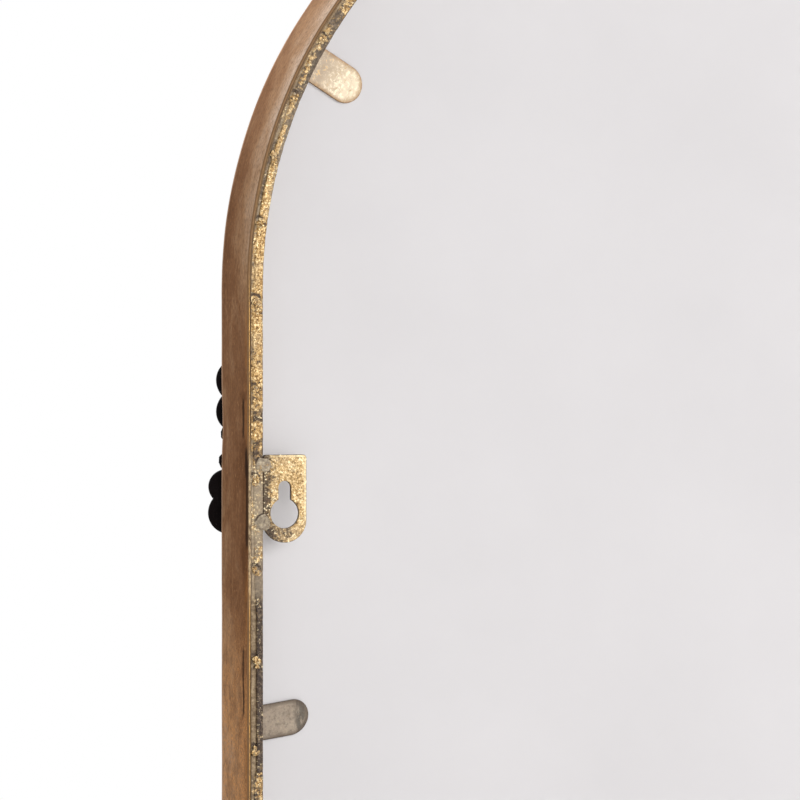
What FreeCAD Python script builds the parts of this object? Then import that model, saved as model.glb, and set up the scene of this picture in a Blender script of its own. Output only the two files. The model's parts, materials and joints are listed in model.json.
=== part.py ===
import FreeCAD, Part
import Sketcher
import math
import os

# Arched wall mirror with a metal frame, bendable retaining tabs and a black sprig on each side of its front.
# The origin lies midway between the round holes of the two keyhole hangers, on the plane of the frame's back.
# +Z is up, and the front faces -Y. A depth is counted from the back of the frame towards the front, along -Y.
# Left and right are as seen from the front, so right is +X.

# Driving dimensions in millimetres and degrees.
DIMENSIONS = {
    # Frame outline: a half circle on straight sides with a square-cornered foot
    "arch_radius": 200,
    "overall_height": 800,
    "frame_depth": 35,
    # Height of the arch's spring line above the keyholes
    "hanger_drop": 91.5,
    # Frame section, from the outside inwards
    "band_thickness": 1.8,
    "band_edge_round": 0.8,
    "band_fit": 0.1,
    "groove_width": 2.4,
    "groove_depth": 1,
    "leg_thickness": 2.8,
    "lip_reach": 12,
    "lip_thickness": 3,
    "lip_setback": 4,
    # Panels that lie on the lip, clear of the tabs along their edges
    "panel_clearance": 0.35,
    "glass_thickness": 4,
    "board_thickness": 9,
    # Tack welds in the groove
    "weld_length": 5,
    "weld_crown": 0.5,
    "weld_arch_pitch": 26.8,
    "weld_side_pitch": 36.8,
    "weld_side_start": 4.7,
    # Keyhole hangers
    "plate_width": 18.6,
    "plate_height": 36,
    "plate_thickness": 2,
    "plate_sink": 0.3,
    "plate_gap": 0.15,
    "plate_corner": 1.5,
    "keyhole_diameter": 12.3,
    "keyhole_rise": 2.7,
    "slot_width": 5.4,
    "slot_rise": 10.6,
    "hanger_weld_diameter": 6,
    "hanger_weld_upper": 19.9,
    "hanger_weld_lower": 3.7,
    # Retaining tabs: strips folded over the board
    "tab_thickness": 1,
    "tab_play": 0.2,
    "foot_length": 10,
    "side_tab_width": 14.6,
    "side_tab_length": 24,
    "side_tab_skew": 9.5,
    "upper_tab_drop": 178.4,
    "lower_tab_drop": 454,
    "bottom_tab_offset": 100,
    "arch_tab_width": 15.3,
    "arch_tab_length": 26,
    "arch_tab_skew": 3,
    "arch_tab_angle": 29.1,
    # Sprig on the front lip: a stem that carries two blossoms and three leaves
    "stem_diameter": 4,
    "stem_inset": 15.8,
    "stem_overrun": 6,
    "stalk_diameter": 4,
    "cup_radius": 40,
    "petal_thickness": 1.6,
    "petal_radius": 9.5,
    "petal_spread": 10,
    "small_petal_radius": 7.5,
    "small_petal_spread": 10.8,
    "small_petal_turn": 22,
    "button_radius": 4.2,
    "upper_blossom_drop": 44.3,
    "upper_blossom_offset": 1.7,
    "upper_stalk_height": 0.6,
    "lower_blossom_drop": 86.1,
    "lower_blossom_offset": -0.9,
    "lower_stalk_height": 3.4,
    "leaf_drop": 65.2,
    "leaf_spacing": 6.9,
    "leaf_lean": 10,
    "leaf_lap": 1.5,
    "leaf_length": 18.2,
    "leaf_width": 8.4,
    "leaf_thickness": 1.5,
}
PETALS = 5
TOLERANCE = 1e-6

# Insets from the outside of the frame and depths from its back, as formulas of the dimensions above.
BAND_SEAT = "(Dims.band_thickness + Dims.band_fit)"
LEG_INSET = "(Dims.band_thickness + Dims.groove_width)"
WALL_INSET = f"({LEG_INSET} + Dims.leg_thickness)"
SIGHT_INSET = f"({WALL_INSET} + Dims.lip_reach)"
WALL_RADIUS = f"(Dims.arch_radius - {WALL_INSET})"
ARCH_SEAT = f"({WALL_RADIUS} - sqrt({WALL_RADIUS}^2 - (Dims.arch_tab_width / 2)^2))"
PANEL_INSET = f"({WALL_INSET} + {ARCH_SEAT} + Dims.tab_thickness + Dims.panel_clearance)"
LIP_FRONT = "(Dims.frame_depth - Dims.lip_setback)"
GLASS_FRONT = f"({LIP_FRONT} - Dims.lip_thickness)"
BOARD_FRONT = f"({GLASS_FRONT} - Dims.glass_thickness)"
BOARD_BACK = f"({BOARD_FRONT} - Dims.board_thickness)"
STEM_FRONT = f"({LIP_FRONT} + Dims.stem_diameter)"
LEAF_BACK = f"max({STEM_FRONT}; Dims.frame_depth)"
FOOT_HEIGHT = "(Dims.overall_height - Dims.arch_radius - Dims.hanger_drop)"
HANGER_X = f"({WALL_RADIUS} - Dims.plate_gap - Dims.plate_width / 2)"

SIDES = {"left": -1, "right": 1}
X_AXIS = FreeCAD.Vector(1, 0, 0)
Y_AXIS = FreeCAD.Vector(0, 1, 0)
Z_AXIS = FreeCAD.Vector(0, 0, 1)
TOWARDS_FRONT = FreeCAD.Rotation(X_AXIS, 90)

doc = FreeCAD.newDocument("wall_mirror")
sheet = doc.addObject("Spreadsheet::Sheet", "Dims")
for row, (alias, value) in enumerate(DIMENSIONS.items(), start=1):
    sheet.set(f"A{row}", alias)
    sheet.set(f"B{row}", str(value))
    sheet.setAlias(f"B{row}", alias)
doc.recompute()


def size(formula):
    """The present value of a formula of the dimensions."""
    return float(sheet.evalExpression(formula))


def bind(thing, **formulas):
    for name, formula in formulas.items():
        thing.setExpression(name, formula)


def place(thing, x, depth, z, rotation=None):
    """Put an object at x, depth and height z, each a formula, with a fixed rotation."""
    spot = FreeCAD.Vector(size(x), -size(depth), size(z))
    thing.Placement = FreeCAD.Placement(spot, rotation or FreeCAD.Rotation())
    thing.setExpression("Placement.Base.x", x)
    thing.setExpression("Placement.Base.y", f"-({depth})")
    thing.setExpression("Placement.Base.z", z)
    return thing


def primitive(kind, name, **formulas):
    thing = doc.addObject(kind, name)
    bind(thing, **formulas)
    return thing


def rod(name, radius, length, x, depth, z):
    """Cylinder that runs from a depth towards the front."""
    thing = primitive("Part::Cylinder", name, Radius=radius, Height=length)
    return place(thing, x, depth, z, TOWARDS_FRONT)


def boolean(kind, name, base, tool):
    thing = doc.addObject(kind, name)
    thing.Base = base
    thing.Tool = tool
    return thing


def group(name, members):
    thing = doc.addObject("Part::Compound", name)
    thing.Links = members
    return thing


# Sketches and solids of a body

def new_body(name):
    return doc.addObject("PartDesign::Body", name)


def origin_plane(body, role):
    return next(item for item in body.Origin.OriginFeatures if item.Role == role)


def new_sketch(body, name, depth="0", plane="XZ_Plane"):
    """Sketch in one of the body's planes, by default the upright one, at the depth where its solid starts."""
    sketch = body.newObject("Sketcher::SketchObject", name)
    sketch.AttachmentSupport = [(origin_plane(body, plane), "")]
    sketch.MapMode = "FlatFace"
    sketch.setExpression("AttachmentOffset.Base.z", depth)
    return sketch


def constrain(sketch, kind, *where):
    return sketch.addConstraint(Sketcher.Constraint(kind, *where))


def dimension(sketch, name, formula, kind, *where):
    """Named driving constraint whose value is a formula of the dimensions."""
    index = sketch.addConstraint(Sketcher.Constraint(kind, *where, size(formula)))
    sketch.renameConstraint(index, name)
    sketch.setExpression(f"Constraints.{name}", formula)


def extrude(body, sketch, name, length):
    feature = body.newObject("PartDesign::Pad", name)
    feature.Profile = sketch
    bind(feature, Length=length)
    return feature


def recess(body, sketch, name, length):
    """Cut from the sketch towards the front."""
    feature = body.newObject("PartDesign::Pocket", name)
    feature.Profile = sketch
    feature.Reversed = True
    bind(feature, Length=length)
    return feature


def point(x, z):
    return FreeCAD.Vector(x, z, 0)


def line(sketch, start, end):
    return sketch.addGeometry(Part.LineSegment(start, end))


def arc(sketch, centre, radius, first, last):
    circle = Part.Circle(centre, Z_AXIS, radius)
    return sketch.addGeometry(Part.ArcOfCircle(circle, first, last))


def arch_outline(sketch, inset, tag):
    """Closed arch, inset from the outside of the frame."""
    radius_formula = f"Dims.arch_radius - {inset}"
    foot_formula = f"{FOOT_HEIGHT} - {inset}"
    radius = size(radius_formula)
    foot = -size(foot_formula)
    spring = size("Dims.hanger_drop")
    base = line(sketch, point(-radius, foot), point(radius, foot))
    right = line(sketch, point(radius, foot), point(radius, spring))
    arch = arc(sketch, point(0, spring), radius, 0, math.pi)
    left = line(sketch, point(-radius, spring), point(-radius, foot))
    constrain(sketch, "Coincident", base, 2, right, 1)
    constrain(sketch, "Coincident", left, 2, base, 1)
    constrain(sketch, "Tangent", right, 2, arch, 1)
    constrain(sketch, "Tangent", arch, 2, left, 1)
    constrain(sketch, "Horizontal", base)
    constrain(sketch, "Vertical", right)
    constrain(sketch, "Vertical", left)
    constrain(sketch, "PointOnObject", arch, 3, -2)
    dimension(sketch, f"{tag}_radius", radius_formula, "Radius", arch)
    dimension(sketch, f"{tag}_spring", "Dims.hanger_drop", "DistanceY", -1, 1, arch, 3)
    dimension(sketch, f"{tag}_foot", foot_formula, "DistanceY", base, 1, -1, 1)


def arch_panel(name, inset, depth, thickness):
    body = new_body(name)
    sketch = new_sketch(body, f"{name}_outline", depth)
    arch_outline(sketch, inset, "edge")
    extrude(body, sketch, f"{name}_solid", thickness)
    return body


def arch_hoop(name, outer_inset, inner_inset, depth, thickness):
    body = new_body(name)
    sketch = new_sketch(body, f"{name}_outline", depth)
    arch_outline(sketch, outer_inset, "outside")
    arch_outline(sketch, inner_inset, "inside")
    extrude(body, sketch, f"{name}_solid", thickness)
    return body


# Frame and panels

def outer_band():
    """Thin, deep strip round the outside, with its front outer edge rounded."""
    body = arch_hoop("outer_band", "0", "Dims.band_thickness", "0", "Dims.frame_depth")
    doc.recompute()
    strip = body.Tip
    front = min(strip.Shape.Faces, key=lambda face: face.CenterOfMass.y)
    edges = [f"Edge{number}" for number, edge in enumerate(strip.Shape.Edges, start=1)
             if any(edge.isSame(rim) for rim in front.OuterWire.Edges)]
    rounding = body.newObject("PartDesign::Fillet", "front_edge_round")
    rounding.Base = (strip, edges)
    bind(rounding, Radius="Dims.band_edge_round")
    return body


def inner_frame():
    """Leg and front lip in one. The leg lies against the band, up to a groove along its rear outer edge."""
    body = arch_hoop("inner_frame", LEG_INSET, WALL_INSET, "0", GLASS_FRONT)
    leg_outline = new_sketch(body, "leg_outline", "Dims.groove_depth")
    arch_outline(leg_outline, BAND_SEAT, "outside")
    arch_outline(leg_outline, WALL_INSET, "inside")
    extrude(body, leg_outline, "leg", f"{GLASS_FRONT} - Dims.groove_depth")
    lip_outline = new_sketch(body, "lip_outline", GLASS_FRONT)
    arch_outline(lip_outline, BAND_SEAT, "rim")
    arch_outline(lip_outline, SIGHT_INSET, "sight")
    extrude(body, lip_outline, "lip", "Dims.lip_thickness")
    return body


def frame_welds():
    """Tacks in the groove between band and inner frame: stretches of the groove, each as long as a weld."""
    height = "Dims.weld_crown + Dims.groove_depth"
    groove = arch_hoop("groove", "Dims.band_thickness", LEG_INSET, "-Dims.weld_crown", height)
    radius = "(Dims.arch_radius - Dims.band_thickness - Dims.groove_width / 2)"
    foot_level = f"({radius} - Dims.arch_radius - {FOOT_HEIGHT})"
    spots = []
    arch_gaps = int(math.pi * size(radius) / size("Dims.weld_arch_pitch"))
    for number in range(1, arch_gaps):
        angle = 180 * number / arch_gaps
        spots.append((f"{radius} * cos({angle})", f"Dims.hanger_drop + {radius} * sin({angle})"))
    side_length = size(f"{FOOT_HEIGHT} + Dims.hanger_drop - Dims.weld_side_start")
    for number in range(int(side_length / size("Dims.weld_side_pitch"))):
        level = f"Dims.hanger_drop - Dims.weld_side_start - {number} * Dims.weld_side_pitch"
        spots += [(f"{side} * {radius}", level) for side in SIDES.values()]
    half_row = int(size("Dims.arch_radius / Dims.weld_side_pitch"))
    for number in range(-half_row + 1, half_row):
        spots.append((f"{number} * Dims.weld_side_pitch", foot_level))
    pins = [rod(f"weld_spot_{number}", "Dims.weld_length / 2", height, x, "-Dims.weld_crown", z)
            for number, (x, z) in enumerate(spots)]
    return boolean("Part::Common", "frame_welds", groove, group("weld_spots", pins))


# Keyhole hangers

def hanger_plate(hand):
    """Plate with a half-round foot and a keyhole, its round hole at the level of the origin."""
    body = new_body(f"hanger_plate_{hand}")
    place(body, f"{SIDES[hand]} * {HANGER_X}", "Dims.plate_sink", "0")
    sketch = new_sketch(body, f"hanger_outline_{hand}")
    half = size("Dims.plate_width / 2")
    foot = -size("Dims.keyhole_rise")
    top = foot - half + size("Dims.plate_height")
    left = line(sketch, point(-half, top), point(-half, foot))
    bottom = arc(sketch, point(0, foot), half, math.pi, 2 * math.pi)
    right = line(sketch, point(half, foot), point(half, top))
    head = line(sketch, point(half, top), point(-half, top))
    constrain(sketch, "Tangent", left, 2, bottom, 1)
    constrain(sketch, "Tangent", bottom, 2, right, 1)
    constrain(sketch, "Coincident", right, 2, head, 1)
    constrain(sketch, "Coincident", head, 2, left, 1)
    constrain(sketch, "Vertical", left)
    constrain(sketch, "Vertical", right)
    constrain(sketch, "Horizontal", head)
    constrain(sketch, "PointOnObject", bottom, 3, -2)
    dimension(sketch, "foot_radius", "Dims.plate_width / 2", "Radius", bottom)
    dimension(sketch, "foot_centre", "Dims.keyhole_rise", "DistanceY", bottom, 3, -1, 1)
    dimension(sketch, "head_level", "Dims.plate_height - Dims.plate_width / 2 - Dims.keyhole_rise",
              "DistanceY", -1, 1, head, 1)
    keyhole(sketch)
    plate = extrude(body, sketch, f"hanger_solid_{hand}", "Dims.plate_thickness")
    doc.recompute()
    corners = [f"Edge{number}" for number, edge in enumerate(plate.Shape.Edges, start=1)
               if edge.BoundBox.ZMin > top - TOLERANCE and edge.BoundBox.XLength < TOLERANCE]
    rounding = body.newObject("PartDesign::Fillet", f"hanger_corners_{hand}")
    rounding.Base = (plate, corners)
    bind(rounding, Radius="Dims.plate_corner")
    return body


def keyhole(sketch):
    """Round hole at the sketch's origin with a slot above it."""
    radius = size("Dims.keyhole_diameter / 2")
    half_slot = size("Dims.slot_width / 2")
    rise = size("Dims.slot_rise")
    lean = math.asin(half_slot / radius)
    mouth = radius * math.cos(lean)
    hole = arc(sketch, point(0, 0), radius, math.pi / 2 + lean, 2.5 * math.pi - lean)
    right = line(sketch, point(half_slot, mouth), point(half_slot, rise))
    crown = arc(sketch, point(0, rise), half_slot, 0, math.pi)
    left = line(sketch, point(-half_slot, rise), point(-half_slot, mouth))
    constrain(sketch, "Coincident", hole, 2, right, 1)
    constrain(sketch, "Tangent", right, 2, crown, 1)
    constrain(sketch, "Tangent", crown, 2, left, 1)
    constrain(sketch, "Coincident", left, 2, hole, 1)
    constrain(sketch, "Vertical", right)
    constrain(sketch, "Vertical", left)
    constrain(sketch, "Coincident", hole, 3, -1, 1)
    constrain(sketch, "PointOnObject", crown, 3, -2)
    dimension(sketch, "hole_radius", "Dims.keyhole_diameter / 2", "Radius", hole)
    dimension(sketch, "slot_radius", "Dims.slot_width / 2", "Radius", crown)
    dimension(sketch, "slot_top", "Dims.slot_rise", "DistanceY", -1, 1, crown, 3)


def hanger_welds(frame):
    """Flat blobs that bridge the back of the inner frame and the hanger plates."""
    levels = {"upper": "Dims.hanger_weld_upper", "lower": "-Dims.hanger_weld_lower"}
    radius = "Dims.hanger_weld_diameter / 2"
    height = "Dims.weld_crown + Dims.plate_sink"
    blobs = []
    for hand, side in SIDES.items():
        for name, level in levels.items():
            blobs.append(rod(f"hanger_weld_{name}_{hand}", radius, height,
                             f"{side} * {WALL_RADIUS}", "-Dims.weld_crown", level))
    return boolean("Part::Cut", "hanger_welds", group("hanger_blobs", blobs), frame)


# Retaining tabs

def tab_sites():
    """Name, kind, place on the frame's inner wall, turn about Y and skew of each tab.

    A tab turned by 0 degrees points towards +X, and the turn is about +Y. A positive skew leans the
    tab's tip towards its own +Z, which turns with it.
    """
    wall = WALL_RADIUS
    arch_x = f"{wall} * cos(Dims.arch_tab_angle)"
    arch_z = f"Dims.hanger_drop + {wall} * sin(Dims.arch_tab_angle)"
    upper_z = "Dims.hanger_drop - Dims.upper_tab_drop"
    lower_z = "Dims.hanger_drop - Dims.lower_tab_drop"
    foot_z = f"{WALL_INSET} - {FOOT_HEIGHT}"
    offset = "Dims.bottom_tab_offset"
    return [
        ("tab_top", "arch", "0", f"Dims.hanger_drop + {wall}", "90", "0"),
        ("tab_arch_left", "arch", f"-{arch_x}", arch_z, "Dims.arch_tab_angle", "-Dims.arch_tab_skew"),
        ("tab_arch_right", "arch", arch_x, arch_z, "180 - Dims.arch_tab_angle", "Dims.arch_tab_skew"),
        ("tab_upper_left", "side", f"-{wall}", upper_z, "0", "Dims.side_tab_skew"),
        ("tab_upper_right", "side", wall, upper_z, "180", "-Dims.side_tab_skew"),
        ("tab_lower_left", "side", f"-{wall}", lower_z, "0", "0"),
        ("tab_lower_right", "side", wall, lower_z, "180", "0"),
        ("tab_bottom_left", "side", f"-{offset}", foot_z, "-90", "0"),
        ("tab_bottom_right", "side", offset, foot_z, "-90", "0"),
    ]


def tab_seat(kind):
    """Distance from the wall to the back of a flat strip. In the arch its two edges touch the curved wall."""
    return ARCH_SEAT if kind == "arch" else "0"


def stand_on_wall(body, x, z, turn):
    """Put a body's origin on the frame's inner wall, with its X axis pointing inwards."""
    place(body, x, "0", z, FreeCAD.Rotation(Y_AXIS, size(turn)))
    body.setExpression("Placement.Rotation.Angle", turn)


def tab_foot(name, kind, x, z, turn):
    """Welded end of a tab, between the wall and the panels' edges."""
    body = new_body(f"{name}_foot")
    stand_on_wall(body, x, z, turn)
    sketch = new_sketch(body, f"{name}_foot_outline", BOARD_BACK)
    seat = tab_seat(kind)
    width = f"Dims.{kind}_tab_width"
    near = size(seat)
    far = near + size("Dims.tab_thickness")
    half = size(width) / 2
    corners = [point(near, -half), point(far, -half), point(far, half), point(near, half)]
    edges = [line(sketch, corner, corners[number - 3]) for number, corner in enumerate(corners)]
    for number, edge in enumerate(edges):
        constrain(sketch, "Coincident", edge, 2, edges[number - 3], 1)
        constrain(sketch, "Vertical" if number % 2 else "Horizontal", edge)
    dimension(sketch, "near_face", seat, "DistanceX", -1, 1, edges[0], 1)
    dimension(sketch, "strip", "Dims.tab_thickness", "DistanceX", edges[0], 1, edges[0], 2)
    dimension(sketch, "lower_edge", f"{width} / 2", "DistanceY", edges[0], 1, -1, 1)
    dimension(sketch, "width", width, "DistanceY", edges[1], 1, edges[1], 2)
    extrude(body, sketch, f"{name}_foot_solid", "Dims.foot_length")
    return body


def tab_leaf(name, kind, x, z, turn, skew):
    """Folded end of a tab: a round-ended strip over the board, with a round root where the strip bends."""
    body = new_body(name)
    stand_on_wall(body, x, z, turn)
    width = f"Dims.{kind}_tab_width"
    root_x = f"({tab_seat(kind)} + Dims.tab_play + Dims.tab_thickness / 2)"
    root_depth = f"({BOARD_BACK} - Dims.tab_play - Dims.tab_thickness / 2)"
    tip_radius = f"({width} / 2 * cos({skew}))"
    tip_x = f"(Dims.{kind}_tab_length - {tip_radius})"
    tip_z = f"({tip_x} - {root_x}) * tan({skew})"
    sketch = new_sketch(body, f"{name}_outline", f"{root_depth} - Dims.tab_thickness / 2")
    tilt = math.radians(size(skew))
    half = size(width) / 2
    low = point(size(root_x), -half)
    high = point(size(root_x), half)
    centre = point(size(tip_x), size(tip_z))
    across = point(-math.sin(tilt), math.cos(tilt)) * size(tip_radius)
    lower = line(sketch, low, centre - across)
    tip = arc(sketch, centre, size(tip_radius), tilt - math.pi / 2, tilt + math.pi / 2)
    upper = line(sketch, centre + across, high)
    root = line(sketch, high, low)
    constrain(sketch, "Tangent", lower, 2, tip, 1)
    constrain(sketch, "Tangent", tip, 2, upper, 1)
    constrain(sketch, "Coincident", upper, 2, root, 1)
    constrain(sketch, "Coincident", root, 2, lower, 1)
    constrain(sketch, "Vertical", root)
    dimension(sketch, "root_place", root_x, "DistanceX", -1, 1, root, 1)
    dimension(sketch, "root_top", f"{width} / 2", "DistanceY", -1, 1, root, 1)
    dimension(sketch, "root_width", width, "DistanceY", root, 2, root, 1)
    dimension(sketch, "tip_radius", tip_radius, "Radius", tip)
    dimension(sketch, "tip_reach", tip_x, "DistanceX", -1, 1, tip, 3)
    dimension(sketch, "tip_lean", tip_z, "DistanceY", -1, 1, tip, 3)
    extrude(body, sketch, f"{name}_strip", "Dims.tab_thickness")
    bend = body.newObject("PartDesign::AdditiveCylinder", f"{name}_bend")
    bend.AttachmentSupport = [(origin_plane(body, "XY_Plane"), "")]
    bend.MapMode = "FlatFace"
    bend.setExpression("AttachmentOffset.Base.x", root_x)
    bend.setExpression("AttachmentOffset.Base.y", f"-{root_depth}")
    bend.setExpression("AttachmentOffset.Base.z", f"-{width} / 2")
    bind(bend, Radius="Dims.tab_thickness / 2", Height=width)
    return body


def retaining_tabs():
    """One group of welded feet, and each tab's folded end as a piece of its own."""
    feet = [tab_foot(*site[:-1]) for site in tab_sites()]
    leaves = [tab_leaf(*site) for site in tab_sites()]
    return [group("tab_feet", feet)] + leaves


# Sprig

def sprig_x(hand, offset="0"):
    """X of a point at an offset inwards from the stem."""
    return f"{SIDES[hand]} * (Dims.arch_radius - Dims.stem_inset - ({offset}))"


def blossom_spot(hand, level):
    return sprig_x(hand, f"Dims.{level}_blossom_offset"), f"Dims.hanger_drop - Dims.{level}_blossom_drop"


def sprig_stem(hand):
    """Upright round bar on the front lip, from below the lower blossom to above the upper one."""
    bottom = "(Dims.hanger_drop - Dims.lower_blossom_drop - Dims.stem_overrun)"
    length = f"Dims.hanger_drop - Dims.upper_blossom_drop + Dims.stem_overrun - {bottom}"
    stem = primitive("Part::Cylinder", f"sprig_stem_{hand}", Radius="Dims.stem_diameter / 2", Height=length)
    return place(stem, sprig_x(hand), f"{LIP_FRONT} + Dims.stem_diameter / 2", bottom)


def cup_profile(sketch, level):
    """Half section of a blossom: a stalk that stands on the stem and flares into a cup of even thickness."""
    inner_radius = "(Dims.cup_radius - Dims.petal_thickness)"
    rim = "(Dims.petal_spread + Dims.petal_radius + Dims.petal_thickness)"
    centre_depth = f"(Dims.{level}_stalk_height + Dims.cup_radius)"
    stalk = size("Dims.stalk_diameter / 2")
    edge = size(rim)
    low = -size(centre_depth)
    outer = size("Dims.cup_radius")
    inner = size(inner_radius)
    neck = point(stalk, low + math.sqrt(outer**2 - stalk**2))
    outer_end = point(edge, low + math.sqrt(outer**2 - edge**2))
    inner_end = point(edge, low + math.sqrt(inner**2 - edge**2))
    foot = line(sketch, point(0, 0), point(stalk, 0))
    side = line(sketch, point(stalk, 0), neck)
    back = arc(sketch, point(0, low), outer, math.acos(edge / outer), math.acos(stalk / outer))
    lip = line(sketch, outer_end, inner_end)
    face = arc(sketch, point(0, low), inner, math.acos(edge / inner), math.pi / 2)
    axis = line(sketch, point(0, low + inner), point(0, 0))
    for joint in ((foot, 2, side, 1), (side, 2, back, 2), (back, 1, lip, 1), (lip, 2, face, 1),
                  (face, 2, axis, 1), (axis, 2, foot, 1), (foot, 1, -1, 1), (back, 3, face, 3)):
        constrain(sketch, "Coincident", *joint)
    constrain(sketch, "Horizontal", foot)
    for upright in (side, lip, axis):
        constrain(sketch, "Vertical", upright)
    constrain(sketch, "PointOnObject", back, 3, -2)
    dimension(sketch, "stalk_radius", "Dims.stalk_diameter / 2", "DistanceX", foot, 1, foot, 2)
    dimension(sketch, "rim_radius", rim, "DistanceX", -1, 1, lip, 1)
    dimension(sketch, "outer_radius", "Dims.cup_radius", "Radius", back)
    dimension(sketch, "inner_radius", inner_radius, "Radius", face)
    dimension(sketch, "centre_depth", centre_depth, "DistanceY", back, 3, -1, 1)


def petal_ring(level):
    """Turn from straight outwards, spread and radius of each petal. The lower blossom has one small petal."""
    ring = [(f"{(2 * number + 1) * 180 / PETALS}", "Dims.petal_spread", "Dims.petal_radius")
            for number in range(PETALS)]
    if level == "lower":
        ring[0] = ("Dims.small_petal_turn", "Dims.small_petal_spread", "Dims.small_petal_radius")
    return ring


def outer_crossing(first, second):
    """Point where the edges of two petals cross, on the side away from the middle of the flower."""
    centre, radius = first
    other, other_radius = second
    way = other - centre
    along = (way.Length**2 + radius**2 - other_radius**2) / (2 * way.Length)
    aside = math.sqrt(radius**2 - along**2)
    middle = centre + way * (along / way.Length)
    offset = point(-way.y, way.x) * (aside / way.Length)
    return max(middle + offset, middle - offset, key=lambda spot: spot.Length)


def petal_outline(sketch, level):
    """All that lies outside a ring of petals. Two petals meet where the flower points outwards."""
    ring = petal_ring(level)
    discs = []
    for turn, spread, radius in ring:
        centre = point(size(f"{spread} * cos({turn})"), size(f"{spread} * sin({turn})"))
        discs.append((centre, size(radius)))
    notches = [outer_crossing(discs[number - 1], disc) for number, disc in enumerate(discs)]
    petals = []
    for number, (centre, radius) in enumerate(discs):
        start = notches[number] - centre
        end = notches[(number + 1) % PETALS] - centre
        petals.append(arc(sketch, centre, radius, math.atan2(start.y, start.x), math.atan2(end.y, end.x)))
    for number, (edge, (turn, spread, radius)) in enumerate(zip(petals, ring)):
        constrain(sketch, "Coincident", petals[number - 1], 2, edge, 1)
        dimension(sketch, f"petal_{number}_radius", radius, "Radius", edge)
        dimension(sketch, f"petal_{number}_x", f"{spread} * cos({turn})", "DistanceX", -1, 1, edge, 3)
        dimension(sketch, f"petal_{number}_z", f"{spread} * sin({turn})", "DistanceY", -1, 1, edge, 3)
    beyond = "2 * (Dims.petal_spread + Dims.petal_radius)"
    outside = sketch.addGeometry(Part.Circle(point(0, 0), Z_AXIS, size(beyond)))
    constrain(sketch, "Coincident", outside, 3, -1, 1)
    dimension(sketch, "beyond", beyond, "Radius", outside)


def blossom(hand, level):
    """Five-petalled cup on a stalk that stands on the stem."""
    body = new_body(f"{level}_blossom_{hand}")
    x, z = blossom_spot(hand, level)
    outwards = FreeCAD.Rotation(Y_AXIS, 0 if SIDES[hand] > 0 else 180)
    place(body, x, STEM_FRONT, z, outwards)
    section = new_sketch(body, f"{level}_cup_section_{hand}", plane="XY_Plane")
    cup_profile(section, level)
    cup = body.newObject("PartDesign::Revolution", f"{level}_cup_{hand}")
    cup.Profile = section
    cup.ReferenceAxis = (section, ["V_Axis"])
    outline = new_sketch(body, f"{level}_petal_outline_{hand}")
    petal_outline(outline, level)
    recess(body, outline, f"{level}_petals_{hand}", f"Dims.{level}_stalk_height + Dims.cup_radius")
    return body


def button(hand, level):
    """Round button in a blossom's cup: as much of a ball as lies inside the cup."""
    x, z = blossom_spot(hand, level)
    cup_back = f"({STEM_FRONT} + Dims.{level}_stalk_height)"
    ball = primitive("Part::Sphere", f"{level}_ball_{hand}", Radius="Dims.button_radius")
    bowl = primitive("Part::Sphere", f"{level}_bowl_{hand}", Radius="Dims.cup_radius - Dims.petal_thickness")
    place(ball, x, f"{cup_back} + Dims.petal_thickness", z)
    place(bowl, x, f"{cup_back} + Dims.cup_radius", z)
    return boolean("Part::Common", f"{level}_button_{hand}", ball, bowl)


def leaf(hand, name, way, step, lean):
    """Pointed oval plate, the overlap of two discs, with its root on the stem.

    way is 1 for a leaf that points outwards and -1 for one that points inwards. step is the root's place
    in leaf spacings above the middle, and lean lifts the tip.
    """
    half_length = "(Dims.leaf_length / 2)"
    half_width = "(Dims.leaf_width / 2)"
    radius = f"(({half_length}^2 / {half_width} + {half_width}) / 2)"
    shift = f"(({half_length}^2 / {half_width} - {half_width}) / 2)"
    reach = f"({half_length} - Dims.leaf_lap)"
    outwards = SIDES[hand] * way
    x = f"{sprig_x(hand)} + {outwards} * {reach} * cos({lean})"
    z = f"Dims.hanger_drop - Dims.leaf_drop + {step} * Dims.leaf_spacing + {reach} * sin({lean})"
    discs = [rod(f"{name}_leaf_{hand}_edge_{number}", radius, "Dims.leaf_thickness",
                 f"{x} - {edge} * {outwards} * {shift} * sin({lean})", LEAF_BACK,
                 f"{z} + {edge} * {shift} * cos({lean})")
             for number, edge in enumerate((-1, 1))]
    return boolean("Part::Common", f"{name}_leaf_{hand}", *discs)


def sprig(hand):
    pieces = [sprig_stem(hand)]
    for level in ("upper", "lower"):
        pieces += [blossom(hand, level), button(hand, level)]
    pieces.append(leaf(hand, "upper", 1, 0.5, "Dims.leaf_lean"))
    pieces.append(leaf(hand, "lower", 1, -0.5, "-Dims.leaf_lean"))
    pieces.append(leaf(hand, "inner", -1, 0, "0"))
    return pieces


# Assembly, tests and files

def whole(shape):
    """The solids of a shape: the solid itself where there is one, or a group of them."""
    return shape.Solids[0] if len(shape.Solids) == 1 else Part.makeCompound(shape.Solids)


def test_document():
    for thing in doc.Objects:
        if "Invalid" in thing.State or "Error" in thing.State:
            raise RuntimeError(f"{thing.Label} failed: {thing.State}")


def test_node(node):
    if node.Shape.isNull() or not node.Shape.isValid() or not node.Shape.Solids:
        raise RuntimeError(f"{node.Label} has no valid solid")


def build():
    frame = inner_frame()
    nodes = [outer_band(), frame, frame_welds()]
    nodes.append(arch_panel("mirror_glass", PANEL_INSET, BOARD_FRONT, "Dims.glass_thickness"))
    nodes.append(arch_panel("backing_board", PANEL_INSET, BOARD_BACK, "Dims.board_thickness"))
    nodes += [hanger_plate(hand) for hand in SIDES]
    nodes.append(hanger_welds(frame))
    nodes += retaining_tabs()
    for hand in SIDES:
        nodes += sprig(hand)
    doc.recompute()
    return nodes


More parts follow.
